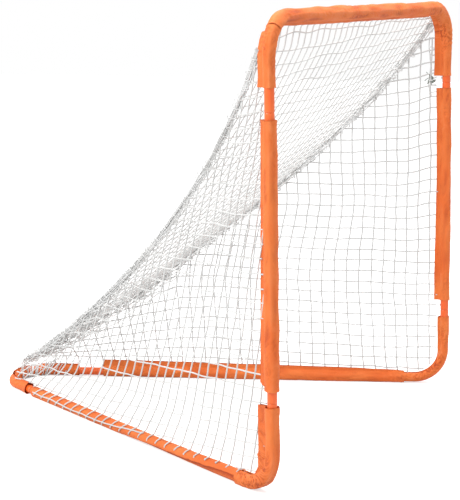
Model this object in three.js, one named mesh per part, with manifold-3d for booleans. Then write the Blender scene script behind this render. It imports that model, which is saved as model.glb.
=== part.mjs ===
// A free-standing practice goal: a square tubular mouth over a V-shaped base, with fabric sleeves over the
// tubes and a net behind the mouth. Millimetres, +Z up. The origin is on the ground under the middle of the
// goal's bounding box, the mouth faces -Y, and the V's apex points along +Y.
import * as THREE from 'three';
import { mergeVertices } from 'three/addons/utils/BufferGeometryUtils.js';
import Module from 'manifold-3d';

const wasm = await Module();
wasm.setup();

// ---- Driving dimensions ----
const MOUTH_OUTER = 1219.2; // outside width and height of the tubular mouth: four feet
const V_DEPTH = 1430; // from the mouth plane to where the two base bars' centrelines would meet
const TUBE_OD = 25.4;
const TUBE_WALL = 1.2;
const FIT_GAP = 0.3; // clearance between parts that slide or rest on each other
const FRAME_BEND = 95; // centreline radius of the four mouth corners
const APEX_BEND = 105; // centreline radius of the rear apex
const BASE_CENTRE = 15.8; // height of the base tubes' centreline over the ground

// Joints between tubes. The lower and upper ones are heights, the rear one is a distance along the base bar.
const LOWER_SEAM = 245;
const UPPER_SEAM = 975;
const REAR_SEAM = 1205;
const SPIGOT_LENGTH = 60;
const SPIGOT_WALL = 1.2;
const SHOULDER_DEPTH = 8; // how far the necked end's root reaches back into its tube

// Snap buttons that lock the joints, and the leaf springs behind them.
const BUTTON_RADIUS = 3.2;
const BUTTON_HOLE_RADIUS = 3.6;
const BUTTON_OFFSET = 14; // from the mouth of the outer tube to the button's axis
const BUTTON_PROUD = 3.6; // how far the button stands out of the outer tube
const CLIP_WIDTH = 7;
const CLIP_THICKNESS = 0.8;
const CLIP_REACH = 8.6; // from the tube's axis to the outer face of either leaf

// Fabric sleeves, a wrap of one thickness around a tube with two flat layers, the fin, that hold the net's edge.
const WRAP_OUTER = 16.9;
const WRAP_INNER = 15;
const WRAP_OUTER_FLAT = BASE_CENTRE; // distance from the axis to the flat that rests on the ground
const WRAP_INNER_FLAT = 14.3;
const FIN_OUTER = 4.1; // half the fin's thickness
const FIN_INNER = 2.5; // half the space between the fin's two layers
const FIN_ROOT = 20.9; // distance from the axis at which the two layers come together
const TOP_FIN_TILT = Math.PI / 4; // the crossbar's fin leans this far back from straight down
const SLEEVE_SPACE = 3; // between two sleeves that meet end to end

// Hook-and-loop closures inside the fins of the straight sleeves.
const CLOSURE_NEAR = 1.5; // from the middle of the fin to the strip's inner face
const CLOSURE_FAR = 2.2;
const CLOSURE_ROOT = 22; // distance from the tube's axis at which the strip starts
const CLOSURE_INSET = 1.5; // the strip stops this far inside the fin's edge

// Net, as thin panels, and the laced seams where the roof joins the sides.
const NET_HALF_THICKNESS = 1.2;
const NET_GRIP = 20.2; // from a tube's centreline to the net's edge inside the sleeve's fin
const NET_CLEAR_HEIGHT = 50; // height at which a side panel has left the base sleeve's fin
const NET_REAR_HEIGHT = 44; // height of a side panel's lower edge over the apex sleeve
const NET_SIDE_TOP = 1100; // height of a side panel beside the post, below the corner bend
const NET_REAR_Y = 1190; // how far back the panels run
const LACING_RADIUS = 8;
const LACING_START_Y = 50;
const LACING_END = { x: 14, y: 1235, z: 68 };
const ROOF_SAG = 20;
const ROOF_HALF_FRONT = 490;

const SIDES = {
  left: {
    sign: -1,
    cornerTop: 235,
    cornerFin: 42,
    barEnd: 1186,
    barFin: 32,
    midFin: 32,
    topLow: 1035,
    topFin: 27,
    apexEnd: 1225,
    lacingStartZ: 1122,
    lacingBow: { y: 300, z: 590 },
  },
  right: {
    sign: 1,
    cornerTop: 222,
    cornerFin: 25,
    barEnd: 1124,
    barFin: 32,
    midFin: 34,
    topLow: 996,
    topFin: 38,
    apexEnd: 1210,
    lacingStartZ: 1158,
    lacingBow: { y: 350, z: 665 },
  },
};
const MID_SLEEVE_LOW = 277;
const MID_SLEEVE_HIGH = 957;
const CORNER_RUN = 30; // how far a lower corner sleeve runs on along the base bar after the bend
const TOP_BAR_FIN = 34;
const APEX_FIN = 24;

// ---- Derived dimensions ----
const TUBE_OUTER = TUBE_OD / 2;
const TUBE_INNER = TUBE_OUTER - TUBE_WALL;
const SPIGOT_OUTER = TUBE_INNER - FIT_GAP;
const SPIGOT_INNER = SPIGOT_OUTER - SPIGOT_WALL;
const HALF_MOUTH = (MOUTH_OUTER - TUBE_OD) / 2;
const BAR_HEIGHT = MOUTH_OUTER - TUBE_OUTER;
const HALF_APEX = Math.atan2(HALF_MOUTH, V_DEPTH);
const BAR_LENGTH = Math.hypot(HALF_MOUTH, V_DEPTH);
const APEX_TURN = Math.PI - 2 * HALF_APEX;
const APEX_TANGENT = BAR_LENGTH - APEX_BEND / Math.tan(HALF_APEX);
const REAR_MOST = V_DEPTH - APEX_BEND / Math.sin(HALF_APEX) + APEX_BEND + WRAP_OUTER;
const MIDDLE_Y = (REAR_MOST - WRAP_OUTER) / 2;

const UP = new THREE.Vector3(0, 0, 1);
const DOWN = new THREE.Vector3(0, 0, -1);
const RIGHT = new THREE.Vector3(1, 0, 0);
const BACK = new THREE.Vector3(0, 1, 0);
const FRONT = new THREE.Vector3(0, -1, 0);
const RIGHT_ANGLE = Math.PI / 2;

const ROUND_SEGMENTS = 8; // half the number of sides of a tube
const BEND_STEPS = 6; // in a right-angled bend

// ---- Materials ----
const steelPaint = new THREE.MeshStandardMaterial({ color: 0xf26a22, roughness: 0.35, metalness: 0.1 });
const fabric = new THREE.MeshStandardMaterial({ color: 0xf0793c, roughness: 0.75, metalness: 0 });
const tape = new THREE.MeshStandardMaterial({ color: 0xd9602a, roughness: 0.95, metalness: 0 });
const zinc = new THREE.MeshStandardMaterial({ color: 0xb9bcc0, roughness: 0.3, metalness: 1 });
const twine = new THREE.MeshStandardMaterial({ color: 0xe8e8e4, roughness: 0.85, metalness: 0 });
const lacing = new THREE.MeshStandardMaterial({ color: 0xd4d5d2, roughness: 0.9, metalness: 0 });

// ---- Paths and sections ----

// A flat path of straight runs and round turns. Its stations lie only where the shape needs them, so a long
// straight run takes one step. Sections keep `normal` as their x axis, and their y axis points into the turns.
class BentPath extends THREE.Curve {
  constructor(start, heading, normal, moves) {
    super();
    this.normal = normal.clone();
    this.points = [start.clone()];
    this.headings = [heading.clone().normalize()];
    for (const move of moves) this.extend(move);
  }

  get steps() {
    return this.points.length - 1;
  }

  extend({ run, turn, radius }) {
    const from = this.points.at(-1);
    const ahead = this.headings.at(-1);
    if (run) {
      this.points.push(from.clone().addScaledVector(ahead, run));
      this.headings.push(ahead.clone());
      return;
    }
    const inward = ahead.clone().cross(this.normal);
    const count = Math.ceil((BEND_STEPS * turn) / RIGHT_ANGLE);
    for (let i = 1; i <= count; i++) {
      const angle = (turn * i) / count;
      const forward = radius * Math.sin(angle);
      const sideways = radius * (1 - Math.cos(angle));
      this.points.push(from.clone().addScaledVector(ahead, forward).addScaledVector(inward, sideways));
      this.headings.push(
        ahead.clone().multiplyScalar(Math.cos(angle)).addScaledVector(inward, Math.sin(angle)),
      );
    }
  }

  between(list, t) {
    const at = Math.min(t, 1) * this.steps;
    const index = Math.min(Math.floor(at), this.steps - 1);
    return list[index].clone().lerp(list[index + 1], at - index);
  }

  getPoint(t) {
    return this.between(this.points, t);
  }

  getPointAt(t) {
    return this.getPoint(t);
  }

  getTangentAt(t) {
    return this.between(this.headings, t).normalize();
  }

  computeFrenetFrames() {
    const tangents = this.headings.map((heading) => heading.clone());
    const normals = tangents.map(() => this.normal.clone());
    const binormals = tangents.map((tangent) => tangent.clone().cross(this.normal));
    return { tangents, normals, binormals };
  }
}

const sweep = (section, path) =>
  new THREE.ExtrudeGeometry(section, {
    extrudePath: path,
    steps: path.steps,
    curveSegments: ROUND_SEGMENTS,
  });

function ringSection(outer, inner) {
  const section = new THREE.Shape().absarc(0, 0, outer, 0, 2 * Math.PI, false);
  section.holes.push(new THREE.Path().absarc(0, 0, inner, 0, 2 * Math.PI, true));
  return section;
}

// One layer of a wrap, from the fin's edge on one side round the tube to the fin's edge on the other side.
function wrapLayer(radius, flat, halfGap, fin) {
  const reach = Math.hypot(halfGap, FIN_ROOT);
  const high = Math.atan2(FIN_ROOT, halfGap) - Math.acos(radius / reach);
  const low = -Math.asin(flat / radius);
  const segments = 5;
  const half = [new THREE.Vector2(halfGap, fin), new THREE.Vector2(halfGap, FIN_ROOT)];
  for (let i = 0; i <= segments; i++) {
    const angle = high + ((low - high) * i) / segments;
    half.push(new THREE.Vector2(radius * Math.cos(angle), radius * Math.sin(angle)));
  }
  const mirrored = half.map((p) => new THREE.Vector2(-p.x, p.y)).reverse();
  return [...half, ...mirrored];
}

const turned = (points, tilt) => points.map((p) => p.rotateAround(new THREE.Vector2(), tilt));

function wrapSection(fin, tilt = 0) {
  const outer = wrapLayer(WRAP_OUTER, WRAP_OUTER_FLAT, FIN_OUTER, fin);
  const inner = wrapLayer(WRAP_INNER, WRAP_INNER_FLAT, FIN_INNER, fin);
  return new THREE.Shape(turned([...outer, ...inner.reverse()], tilt));
}

function closureSection(side, fin, tilt = 0) {
  const near = side * CLOSURE_NEAR;
  const far = side * CLOSURE_FAR;
  const edge = fin - CLOSURE_INSET;
  const corners = [
    new THREE.Vector2(near, CLOSURE_ROOT),
    new THREE.Vector2(far, CLOSURE_ROOT),
    new THREE.Vector2(far, edge),
    new THREE.Vector2(near, edge),
  ];
  return new THREE.Shape(turned(corners, tilt));
}

// ---- Solids ----

function solidOf(geometry) {
  const bare = geometry.clone();
  bare.deleteAttribute('normal');
  bare.deleteAttribute('uv');
  const merged = mergeVertices(bare, 1e-3);
  return new wasm.Manifold(
    new wasm.Mesh({
      numProp: 3,
      vertProperties: merged.attributes.position.array,
      triVerts: new Uint32Array(merged.index.array),
    }),
  );
}

function geometryOf(solid) {
  const mesh = solid.getMesh();
  const geometry = new THREE.BufferGeometry();
  geometry.setAttribute('position', new THREE.BufferAttribute(mesh.vertProperties, 3));
  geometry.setIndex(new THREE.BufferAttribute(mesh.triVerts, 1));
  geometry.computeVertexNormals();
  return geometry;
}

// The necked male end of a tube. A shoulder inside the tube's mouth joins the tube's wall to the spigot's wall,
// which stands out along `along`.
function spigotSolid({ at, along, normal }) {
  const from = (depth) => at.clone().addScaledVector(along, -depth);
  const shoulder = new BentPath(from(SHOULDER_DEPTH - 1), along, normal, [{ run: SHOULDER_DEPTH - 2 }]);
  const neck = new BentPath(from(SHOULDER_DEPTH), along, normal, [{ run: SHOULDER_DEPTH + SPIGOT_LENGTH }]);
  const shoulderOuter = (TUBE_INNER + TUBE_OUTER) / 2;
  const shoulderInner = (SPIGOT_INNER + SPIGOT_OUTER) / 2;
  return solidOf(sweep(ringSection(shoulderOuter, shoulderInner), shoulder)).add(
    solidOf(sweep(ringSection(SPIGOT_OUTER, SPIGOT_INNER), neck)),
  );
}

function holeSolid({ at, facing }) {
  const length = 2 * TUBE_OUTER;
  const drill = new THREE.CylinderGeometry(BUTTON_HOLE_RADIUS, BUTTON_HOLE_RADIUS, length, 12);
  drill.translate(0, length / 2 + TUBE_WALL, 0);
  drill.applyQuaternion(new THREE.Quaternion().setFromUnitVectors(BACK, facing));
  drill.translate(at.x, at.y, at.z);
  return solidOf(drill);
}

function tubeGeometry(path, spigots, holes) {
  let solid = solidOf(sweep(ringSection(TUBE_OUTER, TUBE_INNER), path));
  for (const spigot of spigots) solid = solid.add(spigotSolid({ ...spigot, normal: path.normal }));
  for (const hole of holes) solid = solid.subtract(holeSolid(hole));
  return geometryOf(solid);
}

// A domed button on its own axis, which is +Y, standing on the outer leaf of its spring.
function buttonGeometry() {
  const base = CLIP_REACH + FIT_GAP;
  const top = TUBE_OUTER + BUTTON_PROUD;
  const dome = 1.8;
  const profile = [new THREE.Vector2(0, base), new THREE.Vector2(BUTTON_RADIUS, base)];
  for (let i = 0; i <= 3; i++) {
    const angle = (RIGHT_ANGLE * i) / 3;
    const height = top - dome + dome * Math.sin(angle);
    profile.push(new THREE.Vector2(i === 3 ? 0 : BUTTON_RADIUS * Math.cos(angle), height));
  }
  return new THREE.LatheGeometry(profile, 12);
}

// A leaf spring folded like a hairpin. It lies in the plane of the button's axis (+Y) and the tube's (+X), and
// its fold points away from the tube's mouth.
function clipGeometry(foldSign) {
  const fold = 38;
  const far = CLIP_REACH;
  const near = CLIP_REACH - CLIP_THICKNESS;
  const outline = [
    [6, far],
    [-fold + 7, far - 2],
    [-fold, 2],
    [-fold, -2],
    [-fold + 7, 2 - far],
    [-6, -far],
    [-6, -near],
    [-fold + 7.6, 2 - near],
    [-fold + CLIP_THICKNESS, -1.8],
    [-fold + CLIP_THICKNESS, 1.8],
    [-fold + 7.6, near - 2],
    [6, near],
  ];
  const shape = new THREE.Shape(outline.map(([x, y]) => new THREE.Vector2(foldSign * x, y)));
  const clip = new THREE.ExtrudeGeometry(shape, { depth: CLIP_WIDTH, bevelEnabled: false });
  return clip.translate(0, 0, -CLIP_WIDTH / 2);
}

// A box whose grid of `columns` by `rows` is laid on a curved surface by `place(u, v, side)`, with u and v from
// 0 to 1 and side -1 or 1 for its two faces.
function laidBox(columns, rows, place) {
  const box = new THREE.BoxGeometry(1, 1, 1, columns, rows, 1);
  const position = box.attributes.position;
  for (let i = 0; i < position.count; i++) {
    const spot = place(position.getX(i) + 0.5, position.getY(i) + 0.5, Math.sign(position.getZ(i)));
    position.setXYZ(i, spot.x, spot.y, spot.z);
  }
  return box;
}

// ---- The scene graph ----

const goal = new THREE.Group();
goal.position.y = -MIDDLE_Y;

function addMesh(parent, name, geometry, material) {
  const mesh = new THREE.Mesh(geometry, material);
  mesh.name = name;
  parent.add(mesh);
  return mesh;
}

// A snap button and its spring inside a spigot. `facing` is the way the button points, and `inner` runs along
// the tube away from the spigot's open end.
function addSnap(parent, name, at, facing, inner) {
  const across = new THREE.Vector3().crossVectors(inner.clone().negate(), facing);
  const turn = new THREE.Matrix4().makeBasis(inner.clone().negate(), facing, across);
  for (const [suffix, geometry] of [
    ['button', buttonGeometry()],
    ['spring_clip', clipGeometry(1)],
  ]) {
    const mesh = addMesh(parent, `${name}_${suffix}`, geometry, zinc);
    mesh.quaternion.setFromRotationMatrix(turn);
    mesh.position.copy(at);
  }
}

function addSleeve(parent, name, path, fin, tilt) {
  addMesh(parent, `${name}_sleeve`, sweep(wrapSection(fin, tilt), path), fabric);
}

function addClosure(parent, name, path, fin, tilt) {
  addMesh(parent, `${name}_hook_strip`, sweep(closureSection(1, fin, tilt), path), tape);
  addMesh(parent, `${name}_loop_strip`, sweep(closureSection(-1, fin, tilt), path), tape);
}

// A straight sleeve with its closure, from `start` for `run` along `heading`.
function addStraightSleeve(parent, name, start, heading, normal, run, fin, tilt) {
  const inset = 2;
  const stripStart = start.clone().addScaledVector(heading, inset);
  addSleeve(parent, name, new BentPath(start, heading, normal, [{ run }]), fin, tilt);
  addClosure(parent, name, new BentPath(stripStart, heading, normal, [{ run: run - 2 * inset }]), fin, tilt);
}

// Everything that lies in one side's upright plane. In the side's own frame x runs back along the base bar.
function addSide(name, side) {
  const plane = new THREE.Group();
  plane.position.set(side.sign * HALF_MOUTH, 0, 0);
  plane.rotation.z = RIGHT_ANGLE + side.sign * HALF_APEX;
  goal.add(plane);
  const up = (height) => new THREE.Vector3(0, 0, height);
  const along = (distance) => new THREE.Vector3(distance, 0, BASE_CENTRE);
  const lowerButton = up(LOWER_SEAM + BUTTON_OFFSET);
  const upperButton = up(UPPER_SEAM + BUTTON_OFFSET);
  const rearButton = along(REAR_SEAM - BUTTON_OFFSET);

  const basePath = new BentPath(up(LOWER_SEAM), DOWN, BACK, [
    { run: LOWER_SEAM - BASE_CENTRE - FRAME_BEND },
    { turn: RIGHT_ANGLE, radius: FRAME_BEND },
    { run: REAR_SEAM - FRAME_BEND },
  ]);
  const baseTube = tubeGeometry(
    basePath,
    [{ at: up(LOWER_SEAM), along: UP }],
    [
      { at: lowerButton, facing: RIGHT },
      { at: rearButton, facing: FRONT },
    ],
  );
  addMesh(plane, `${name}_base_tube`, baseTube, steelPaint);

  const postPath = new BentPath(up(UPPER_SEAM), DOWN, BACK, [{ run: UPPER_SEAM - LOWER_SEAM - FIT_GAP }]);
  const postTube = tubeGeometry(
    postPath,
    [{ at: up(UPPER_SEAM), along: UP }],
    [
      { at: lowerButton, facing: RIGHT },
      { at: upperButton, facing: RIGHT },
    ],
  );
  addMesh(plane, `${name}_post_tube`, postTube, steelPaint);

  addSnap(plane, `${name}_lower`, lowerButton, RIGHT, DOWN);
  addSnap(plane, `${name}_upper`, upperButton, RIGHT, DOWN);
  addSnap(plane, `${name}_rear`, rearButton, FRONT, RIGHT);

  const cornerPath = new BentPath(up(side.cornerTop), DOWN, BACK, [
    { run: side.cornerTop - BASE_CENTRE - FRAME_BEND },
    { turn: RIGHT_ANGLE, radius: FRAME_BEND },
    { run: CORNER_RUN },
  ]);
  addSleeve(plane, `${name}_lower_corner`, cornerPath, side.cornerFin);

  const midRun = MID_SLEEVE_HIGH - MID_SLEEVE_LOW;
  addStraightSleeve(plane, `${name}_post`, up(MID_SLEEVE_HIGH), DOWN, BACK, midRun, side.midFin);

  const barStart = FRAME_BEND + CORNER_RUN + SLEEVE_SPACE;
  const barRun = side.barEnd - barStart;
  addStraightSleeve(plane, `${name}_base_bar`, along(barStart), RIGHT, BACK, barRun, side.barFin);
}

// The rear V piece, with a necked end on each leg, and its sleeve.
function addApex() {
  const corner = (sign) => new THREE.Vector3(sign * HALF_MOUTH, 0, BASE_CENTRE);
  const heading = (sign) => new THREE.Vector3(-sign * Math.sin(HALF_APEX), Math.cos(HALF_APEX), 0);
  const onBar = (sign, distance) => corner(sign).addScaledVector(heading(sign), distance);
  const bend = { turn: APEX_TURN, radius: APEX_BEND };
  const seam = REAR_SEAM + FIT_GAP;
  const tubePath = new BentPath(onBar(-1, seam), heading(-1), UP, [
    { run: APEX_TANGENT - seam },
    bend,
    { run: APEX_TANGENT - seam },
  ]);
  const spigots = [-1, 1].map((sign) => ({ at: onBar(sign, seam), along: heading(sign).negate() }));
  const holes = [-1, 1].map((sign) => ({
    at: onBar(sign, REAR_SEAM - BUTTON_OFFSET),
    facing: new THREE.Vector3(Math.cos(HALF_APEX), sign * Math.sin(HALF_APEX), 0),
  }));
  addMesh(goal, 'apex_tube', tubeGeometry(tubePath, spigots, holes), steelPaint);

  const { left, right } = SIDES;
  const sleevePath = new BentPath(onBar(-1, left.apexEnd), heading(-1), UP, [
    { run: APEX_TANGENT - left.apexEnd },
    bend,
    { run: APEX_TANGENT - right.apexEnd },
  ]);
  addSleeve(goal, 'apex', sleevePath, APEX_FIN, -RIGHT_ANGLE);
}

// The crossbar with its two bent ends, and the three sleeves over it.
function addTopFrame() {
  const { left, right } = SIDES;
  const bend = { turn: RIGHT_ANGLE, radius: FRAME_BEND };
  const legTop = BAR_HEIGHT - FRAME_BEND;
  const leg = legTop - UPPER_SEAM - FIT_GAP;
  const start = new THREE.Vector3(-HALF_MOUTH, 0, UPPER_SEAM + FIT_GAP);
  const straight = 2 * (HALF_MOUTH - FRAME_BEND);
  const path = new BentPath(start, UP, FRONT, [{ run: leg }, bend, { run: straight }, bend, { run: leg }]);
  const holes = [-1, 1].map((sign) => ({
    at: new THREE.Vector3(sign * HALF_MOUTH, 0, UPPER_SEAM + BUTTON_OFFSET),
    facing: new THREE.Vector3(-sign * Math.sin(HALF_APEX), Math.cos(HALF_APEX), 0),
  }));
  addMesh(goal, 'top_frame_tube', tubeGeometry(path, [], holes), steelPaint);

  // The crossbar sleeve starts half way round the left bend.
  const half = RIGHT_ANGLE / 2;
  const bendCentre = new THREE.Vector3(FRAME_BEND - HALF_MOUTH, 0, legTop);
  const outwards = new THREE.Vector3(-Math.cos(half), 0, Math.sin(half));
  const barStart = bendCentre.clone().addScaledVector(outwards, FRAME_BEND);
  const barHeading = new THREE.Vector3(Math.sin(half), 0, Math.cos(half));
  const barRun = straight - 2 * SLEEVE_SPACE;
  const barPath = new BentPath(barStart, barHeading, FRONT, [{ turn: half, radius: FRAME_BEND }, { run: barRun }]);
  addSleeve(goal, 'crossbar', barPath, TOP_BAR_FIN, TOP_FIN_TILT);
  const stripStart = new THREE.Vector3(FRAME_BEND - HALF_MOUTH + SLEEVE_SPACE, 0, BAR_HEIGHT);
  const stripPath = new BentPath(stripStart, RIGHT, FRONT, [{ run: barRun - 2 * SLEEVE_SPACE }]);
  addClosure(goal, 'crossbar', stripPath, TOP_BAR_FIN, TOP_FIN_TILT);

  const sideTilt = RIGHT_ANGLE - HALF_APEX;
  const leftStart = new THREE.Vector3(-HALF_MOUTH, 0, left.topLow);
  const leftPath = new BentPath(leftStart, UP, FRONT, [
    { run: legTop - left.topLow },
    { turn: half - SLEEVE_SPACE / FRAME_BEND, radius: FRAME_BEND },
  ]);
  addSleeve(goal, 'left_upper_corner', leftPath, left.topFin, sideTilt);
  const rightStart = new THREE.Vector3(HALF_MOUTH - FRAME_BEND - SLEEVE_SPACE, 0, BAR_HEIGHT);
  const rightPath = new BentPath(rightStart, RIGHT, FRONT, [
    { run: SLEEVE_SPACE },
    bend,
    { run: legTop - right.topLow },
  ]);
  addSleeve(goal, 'right_upper_corner', rightPath, right.topFin, sideTilt);
}

// The line where the roof is laced to a side: it starts behind the mouth's upper corner, hangs in a shallow
// bow, and ends tied over the apex.
function seamCurve(side) {
  const start = new THREE.Vector3(
    side.sign * (HALF_MOUTH - LACING_START_Y * Math.tan(HALF_APEX)),
    LACING_START_Y,
    side.lacingStartZ,
  );
  const end = new THREE.Vector3(side.sign * LACING_END.x, LACING_END.y, LACING_END.z);
  const share = (side.lacingBow.y - start.y) / (end.y - start.y);
  const bow = new THREE.Vector3(THREE.MathUtils.lerp(start.x, end.x, share), side.lacingBow.y, side.lacingBow.z);
  return new THREE.QuadraticBezierCurve3(start, bow, end);
}

// The seam's point and slope at a distance y behind the mouth plane.
function seamAt(curve, y) {
  const { v0, v1, v2 } = curve;
  const a = v0.y - 2 * v1.y + v2.y;
  const b = 2 * (v1.y - v0.y);
  const c = v0.y - y;
  const t = THREE.MathUtils.clamp((-b + Math.sqrt(b * b - 4 * a * c)) / (2 * a), 0, 1);
  return { point: curve.getPoint(t), tangent: curve.getTangent(t) };
}

// The lower edge of a side panel at a distance s along its base bar: it follows the corner bend and the bar.
function lowerEdge(s) {
  const lowest = BASE_CENTRE + NET_GRIP;
  if (s > REAR_SEAM - 2 * BUTTON_OFFSET) return NET_REAR_HEIGHT;
  if (s > FRAME_BEND) return lowest;
  const radius = FRAME_BEND - NET_GRIP;
  return BASE_CENTRE + FRAME_BEND - Math.sqrt(radius ** 2 - Math.min(FRAME_BEND - s, radius) ** 2);
}

function sidePanelGeometry(side) {
  const columns = 24;
  const rows = 4;
  const curve = seamCurve(side);
  const normal = new THREE.Vector3(Math.cos(HALF_APEX), side.sign * Math.sin(HALF_APEX), 0);
  const frontY = NET_GRIP * Math.cos(HALF_APEX);
  return laidBox(columns, rows, (u, v, face) => {
    const y = THREE.MathUtils.lerp(frontY, NET_REAR_Y, u);
    const barX = side.sign * (HALF_MOUTH - y * Math.tan(HALF_APEX));
    const low = lowerEdge(y / Math.cos(HALF_APEX));
    const clear = Math.max(low + 6, NET_CLEAR_HEIGHT);
    const top = new THREE.Vector3(barX, y, NET_SIDE_TOP);
    if (u > 0) {
      const { point, tangent } = seamAt(curve, y);
      const slope = Math.hypot(tangent.x, tangent.y);
      top.set(point.x, y, Math.min(NET_SIDE_TOP, point.z - (LACING_RADIUS + 2) / slope));
    }
    const spot = new THREE.Vector3(barX, y, low);
    if (v > 0) spot.set(barX, y, clear).lerp(top, (v * rows - 1) / (rows - 1));
    return spot.addScaledVector(normal, face * NET_HALF_THICKNESS);
  });
}

function roofPanelGeometry() {
  const columns = 6;
  const rows = 20;
  const seams = [seamCurve(SIDES.left), seamCurve(SIDES.right)];
  const firstY = LACING_START_Y + LACING_RADIUS;
  // The front edge hangs just past the edge of the crossbar sleeve's fin.
  const frontEdge = (u, face) => {
    const across = new THREE.Vector3(0, Math.sin(TOP_FIN_TILT), -Math.cos(TOP_FIN_TILT));
    const out = new THREE.Vector3(0, Math.cos(TOP_FIN_TILT), Math.sin(TOP_FIN_TILT));
    return new THREE.Vector3((2 * u - 1) * ROOF_HALF_FRONT, 0, BAR_HEIGHT)
      .addScaledVector(across, TOP_BAR_FIN + 2)
      .addScaledVector(out, face * NET_HALF_THICKNESS);
  };
  return laidBox(columns, rows, (u, v, face) => {
    const row = Math.round(v * rows);
    if (row === 0) return frontEdge(u, face);
    const y = THREE.MathUtils.lerp(firstY, NET_REAR_Y, (row - 1) / (rows - 1));
    const [left, right] = seams.map((seam) => seamAt(seam, y));
    const edge = left.point.x + LACING_RADIUS + 3;
    const x = THREE.MathUtils.lerp(edge, -edge, u);
    const height = THREE.MathUtils.lerp(left.point.z, right.point.z, u);
    const sag = ROOF_SAG * 4 * u * (1 - u) * Math.sin(Math.PI * Math.min(1, y / NET_REAR_Y));
    const slope = THREE.MathUtils.lerp(left.tangent.z / left.tangent.y, right.tangent.z / right.tangent.y, u);
    const out = new THREE.Vector3(0, -slope, 1).normalize();
    return new THREE.Vector3(x, y, height - sag).addScaledVector(out, face * NET_HALF_THICKNESS);
  });
}

function addNet() {
  const section = new THREE.Shape().absarc(0, 0, LACING_RADIUS, 0, 2 * Math.PI, false);
  for (const [name, side] of Object.entries(SIDES)) {
    addMesh(goal, `${name}_net_panel`, sidePanelGeometry(side), twine);
    const band = new THREE.ExtrudeGeometry(section, {
      extrudePath: seamCurve(side),
      steps: 24,
      curveSegments: 4,
    });
    addMesh(goal, `${name}_net_lacing`, band, lacing);
  }
  addMesh(goal, 'roof_net_panel', roofPanelGeometry(), twine);
}

for (const [name, side] of Object.entries(SIDES)) addSide(name, side);
addApex();
addTopFrame();
addNet();

export default goal;
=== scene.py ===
"""The looks of a free-standing practice goal: fabric sleeves over painted tubes, and a net of knotted twine.

Metres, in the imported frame: the mouth faces -Y, the rear apex points along +Y, and the ground is at z = 0.
"""

import math

import bpy
import numpy as np
from mathutils import Matrix, Vector


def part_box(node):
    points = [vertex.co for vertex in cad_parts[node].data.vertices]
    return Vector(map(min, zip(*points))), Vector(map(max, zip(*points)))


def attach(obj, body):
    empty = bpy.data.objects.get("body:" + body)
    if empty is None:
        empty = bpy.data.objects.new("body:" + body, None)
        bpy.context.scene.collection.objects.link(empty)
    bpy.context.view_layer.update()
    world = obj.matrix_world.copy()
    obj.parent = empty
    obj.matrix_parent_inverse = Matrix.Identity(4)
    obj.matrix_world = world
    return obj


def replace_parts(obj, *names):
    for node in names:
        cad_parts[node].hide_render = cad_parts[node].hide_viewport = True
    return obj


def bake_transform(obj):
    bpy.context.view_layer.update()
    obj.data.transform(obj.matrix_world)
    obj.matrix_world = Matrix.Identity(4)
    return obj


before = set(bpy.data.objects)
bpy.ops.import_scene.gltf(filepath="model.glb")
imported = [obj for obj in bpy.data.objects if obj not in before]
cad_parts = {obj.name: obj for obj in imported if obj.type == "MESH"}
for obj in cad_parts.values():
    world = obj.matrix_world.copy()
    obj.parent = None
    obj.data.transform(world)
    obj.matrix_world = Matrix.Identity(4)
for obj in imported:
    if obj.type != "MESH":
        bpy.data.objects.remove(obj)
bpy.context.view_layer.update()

# ---- Driving dimensions ----
post_low, post_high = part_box("left_post_tube")
HALF_MOUTH = -(post_low.x + post_high.x) / 2
MOUTH_Y = (post_low.y + post_high.y) / 2
TUBE_R, WALL = 0.0127, 0.0012
SPIGOT_R, SPIGOT = 0.0112, 0.060
BAR_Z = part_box("top_frame_tube")[1].z - TUBE_R
BASE_Z = 0.0158
BEND, APEX_BEND = 0.095, 0.105
V_DEPTH = 1.430  # where the base bars' lines meet, behind the mouth
HALF_APEX = math.atan2(HALF_MOUTH, V_DEPTH)
BAR_LENGTH = math.hypot(HALF_MOUTH, V_DEPTH)
APEX_TANGENT = BAR_LENGTH - APEX_BEND / math.tan(HALF_APEX)
LOWER_SEAM, UPPER_SEAM, REAR_SEAM = 0.245, 0.975, 1.205  # where one tube meets the next
APEX_FROM, APEX_TO = 1.225, 1.210  # where the apex sleeve ends on either bar
BUTTON_OFFSET, HOLE_R = 0.014, 0.0036
FIT_GAP = 0.0003

# Heights and distances at which each side's sleeves end.
SIDES = {
    "left": dict(sign=-1, corner_top=0.235, bar_end=1.186, top_low=1.035),
    "right": dict(sign=1, corner_top=0.222, bar_end=1.124, top_low=0.996),
}
MID_LOW, MID_HIGH = 0.277, 0.957
CORNER_RUN, CORNER_LAP = 0.030, 0.010
SLEEVE_SPACE = 0.003

UP = np.array([0.0, 0.0, 1.0])
DOWN = -UP
RIGHT = np.array([1.0, 0.0, 0.0])
FRONT = np.array([0.0, -1.0, 0.0])


# ---- Numbers ----
class Noise:
    """Smooth gradient noise in two dimensions, about -1 to 1, the same on every run."""

    def __init__(self, seed):
        draw = np.random.default_rng(seed)
        self.order = draw.permutation(256)
        self.angle = draw.uniform(0, 2 * math.pi, 256)

    def corner(self, xi, yi, fx, fy):
        angle = self.angle[self.order[(self.order[xi & 255] + yi) & 255]]
        return np.cos(angle) * fx + np.sin(angle) * fy

    def __call__(self, x, y):
        x, y = np.broadcast_arrays(np.asarray(x, float), np.asarray(y, float))
        xi, yi = np.floor(x).astype(int), np.floor(y).astype(int)
        fx, fy = x - xi, y - yi
        u, v = fade(fx), fade(fy)
        low = self.corner(xi, yi, fx, fy) * (1 - u) + self.corner(xi + 1, yi, fx - 1, fy) * u
        high = self.corner(xi, yi + 1, fx, fy - 1) * (1 - u) + self.corner(xi + 1, yi + 1, fx - 1, fy - 1) * u
        return 1.5 * (low * (1 - v) + high * v)


def fade(t):
    return t * t * t * (t * (t * 6 - 15) + 10)


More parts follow.
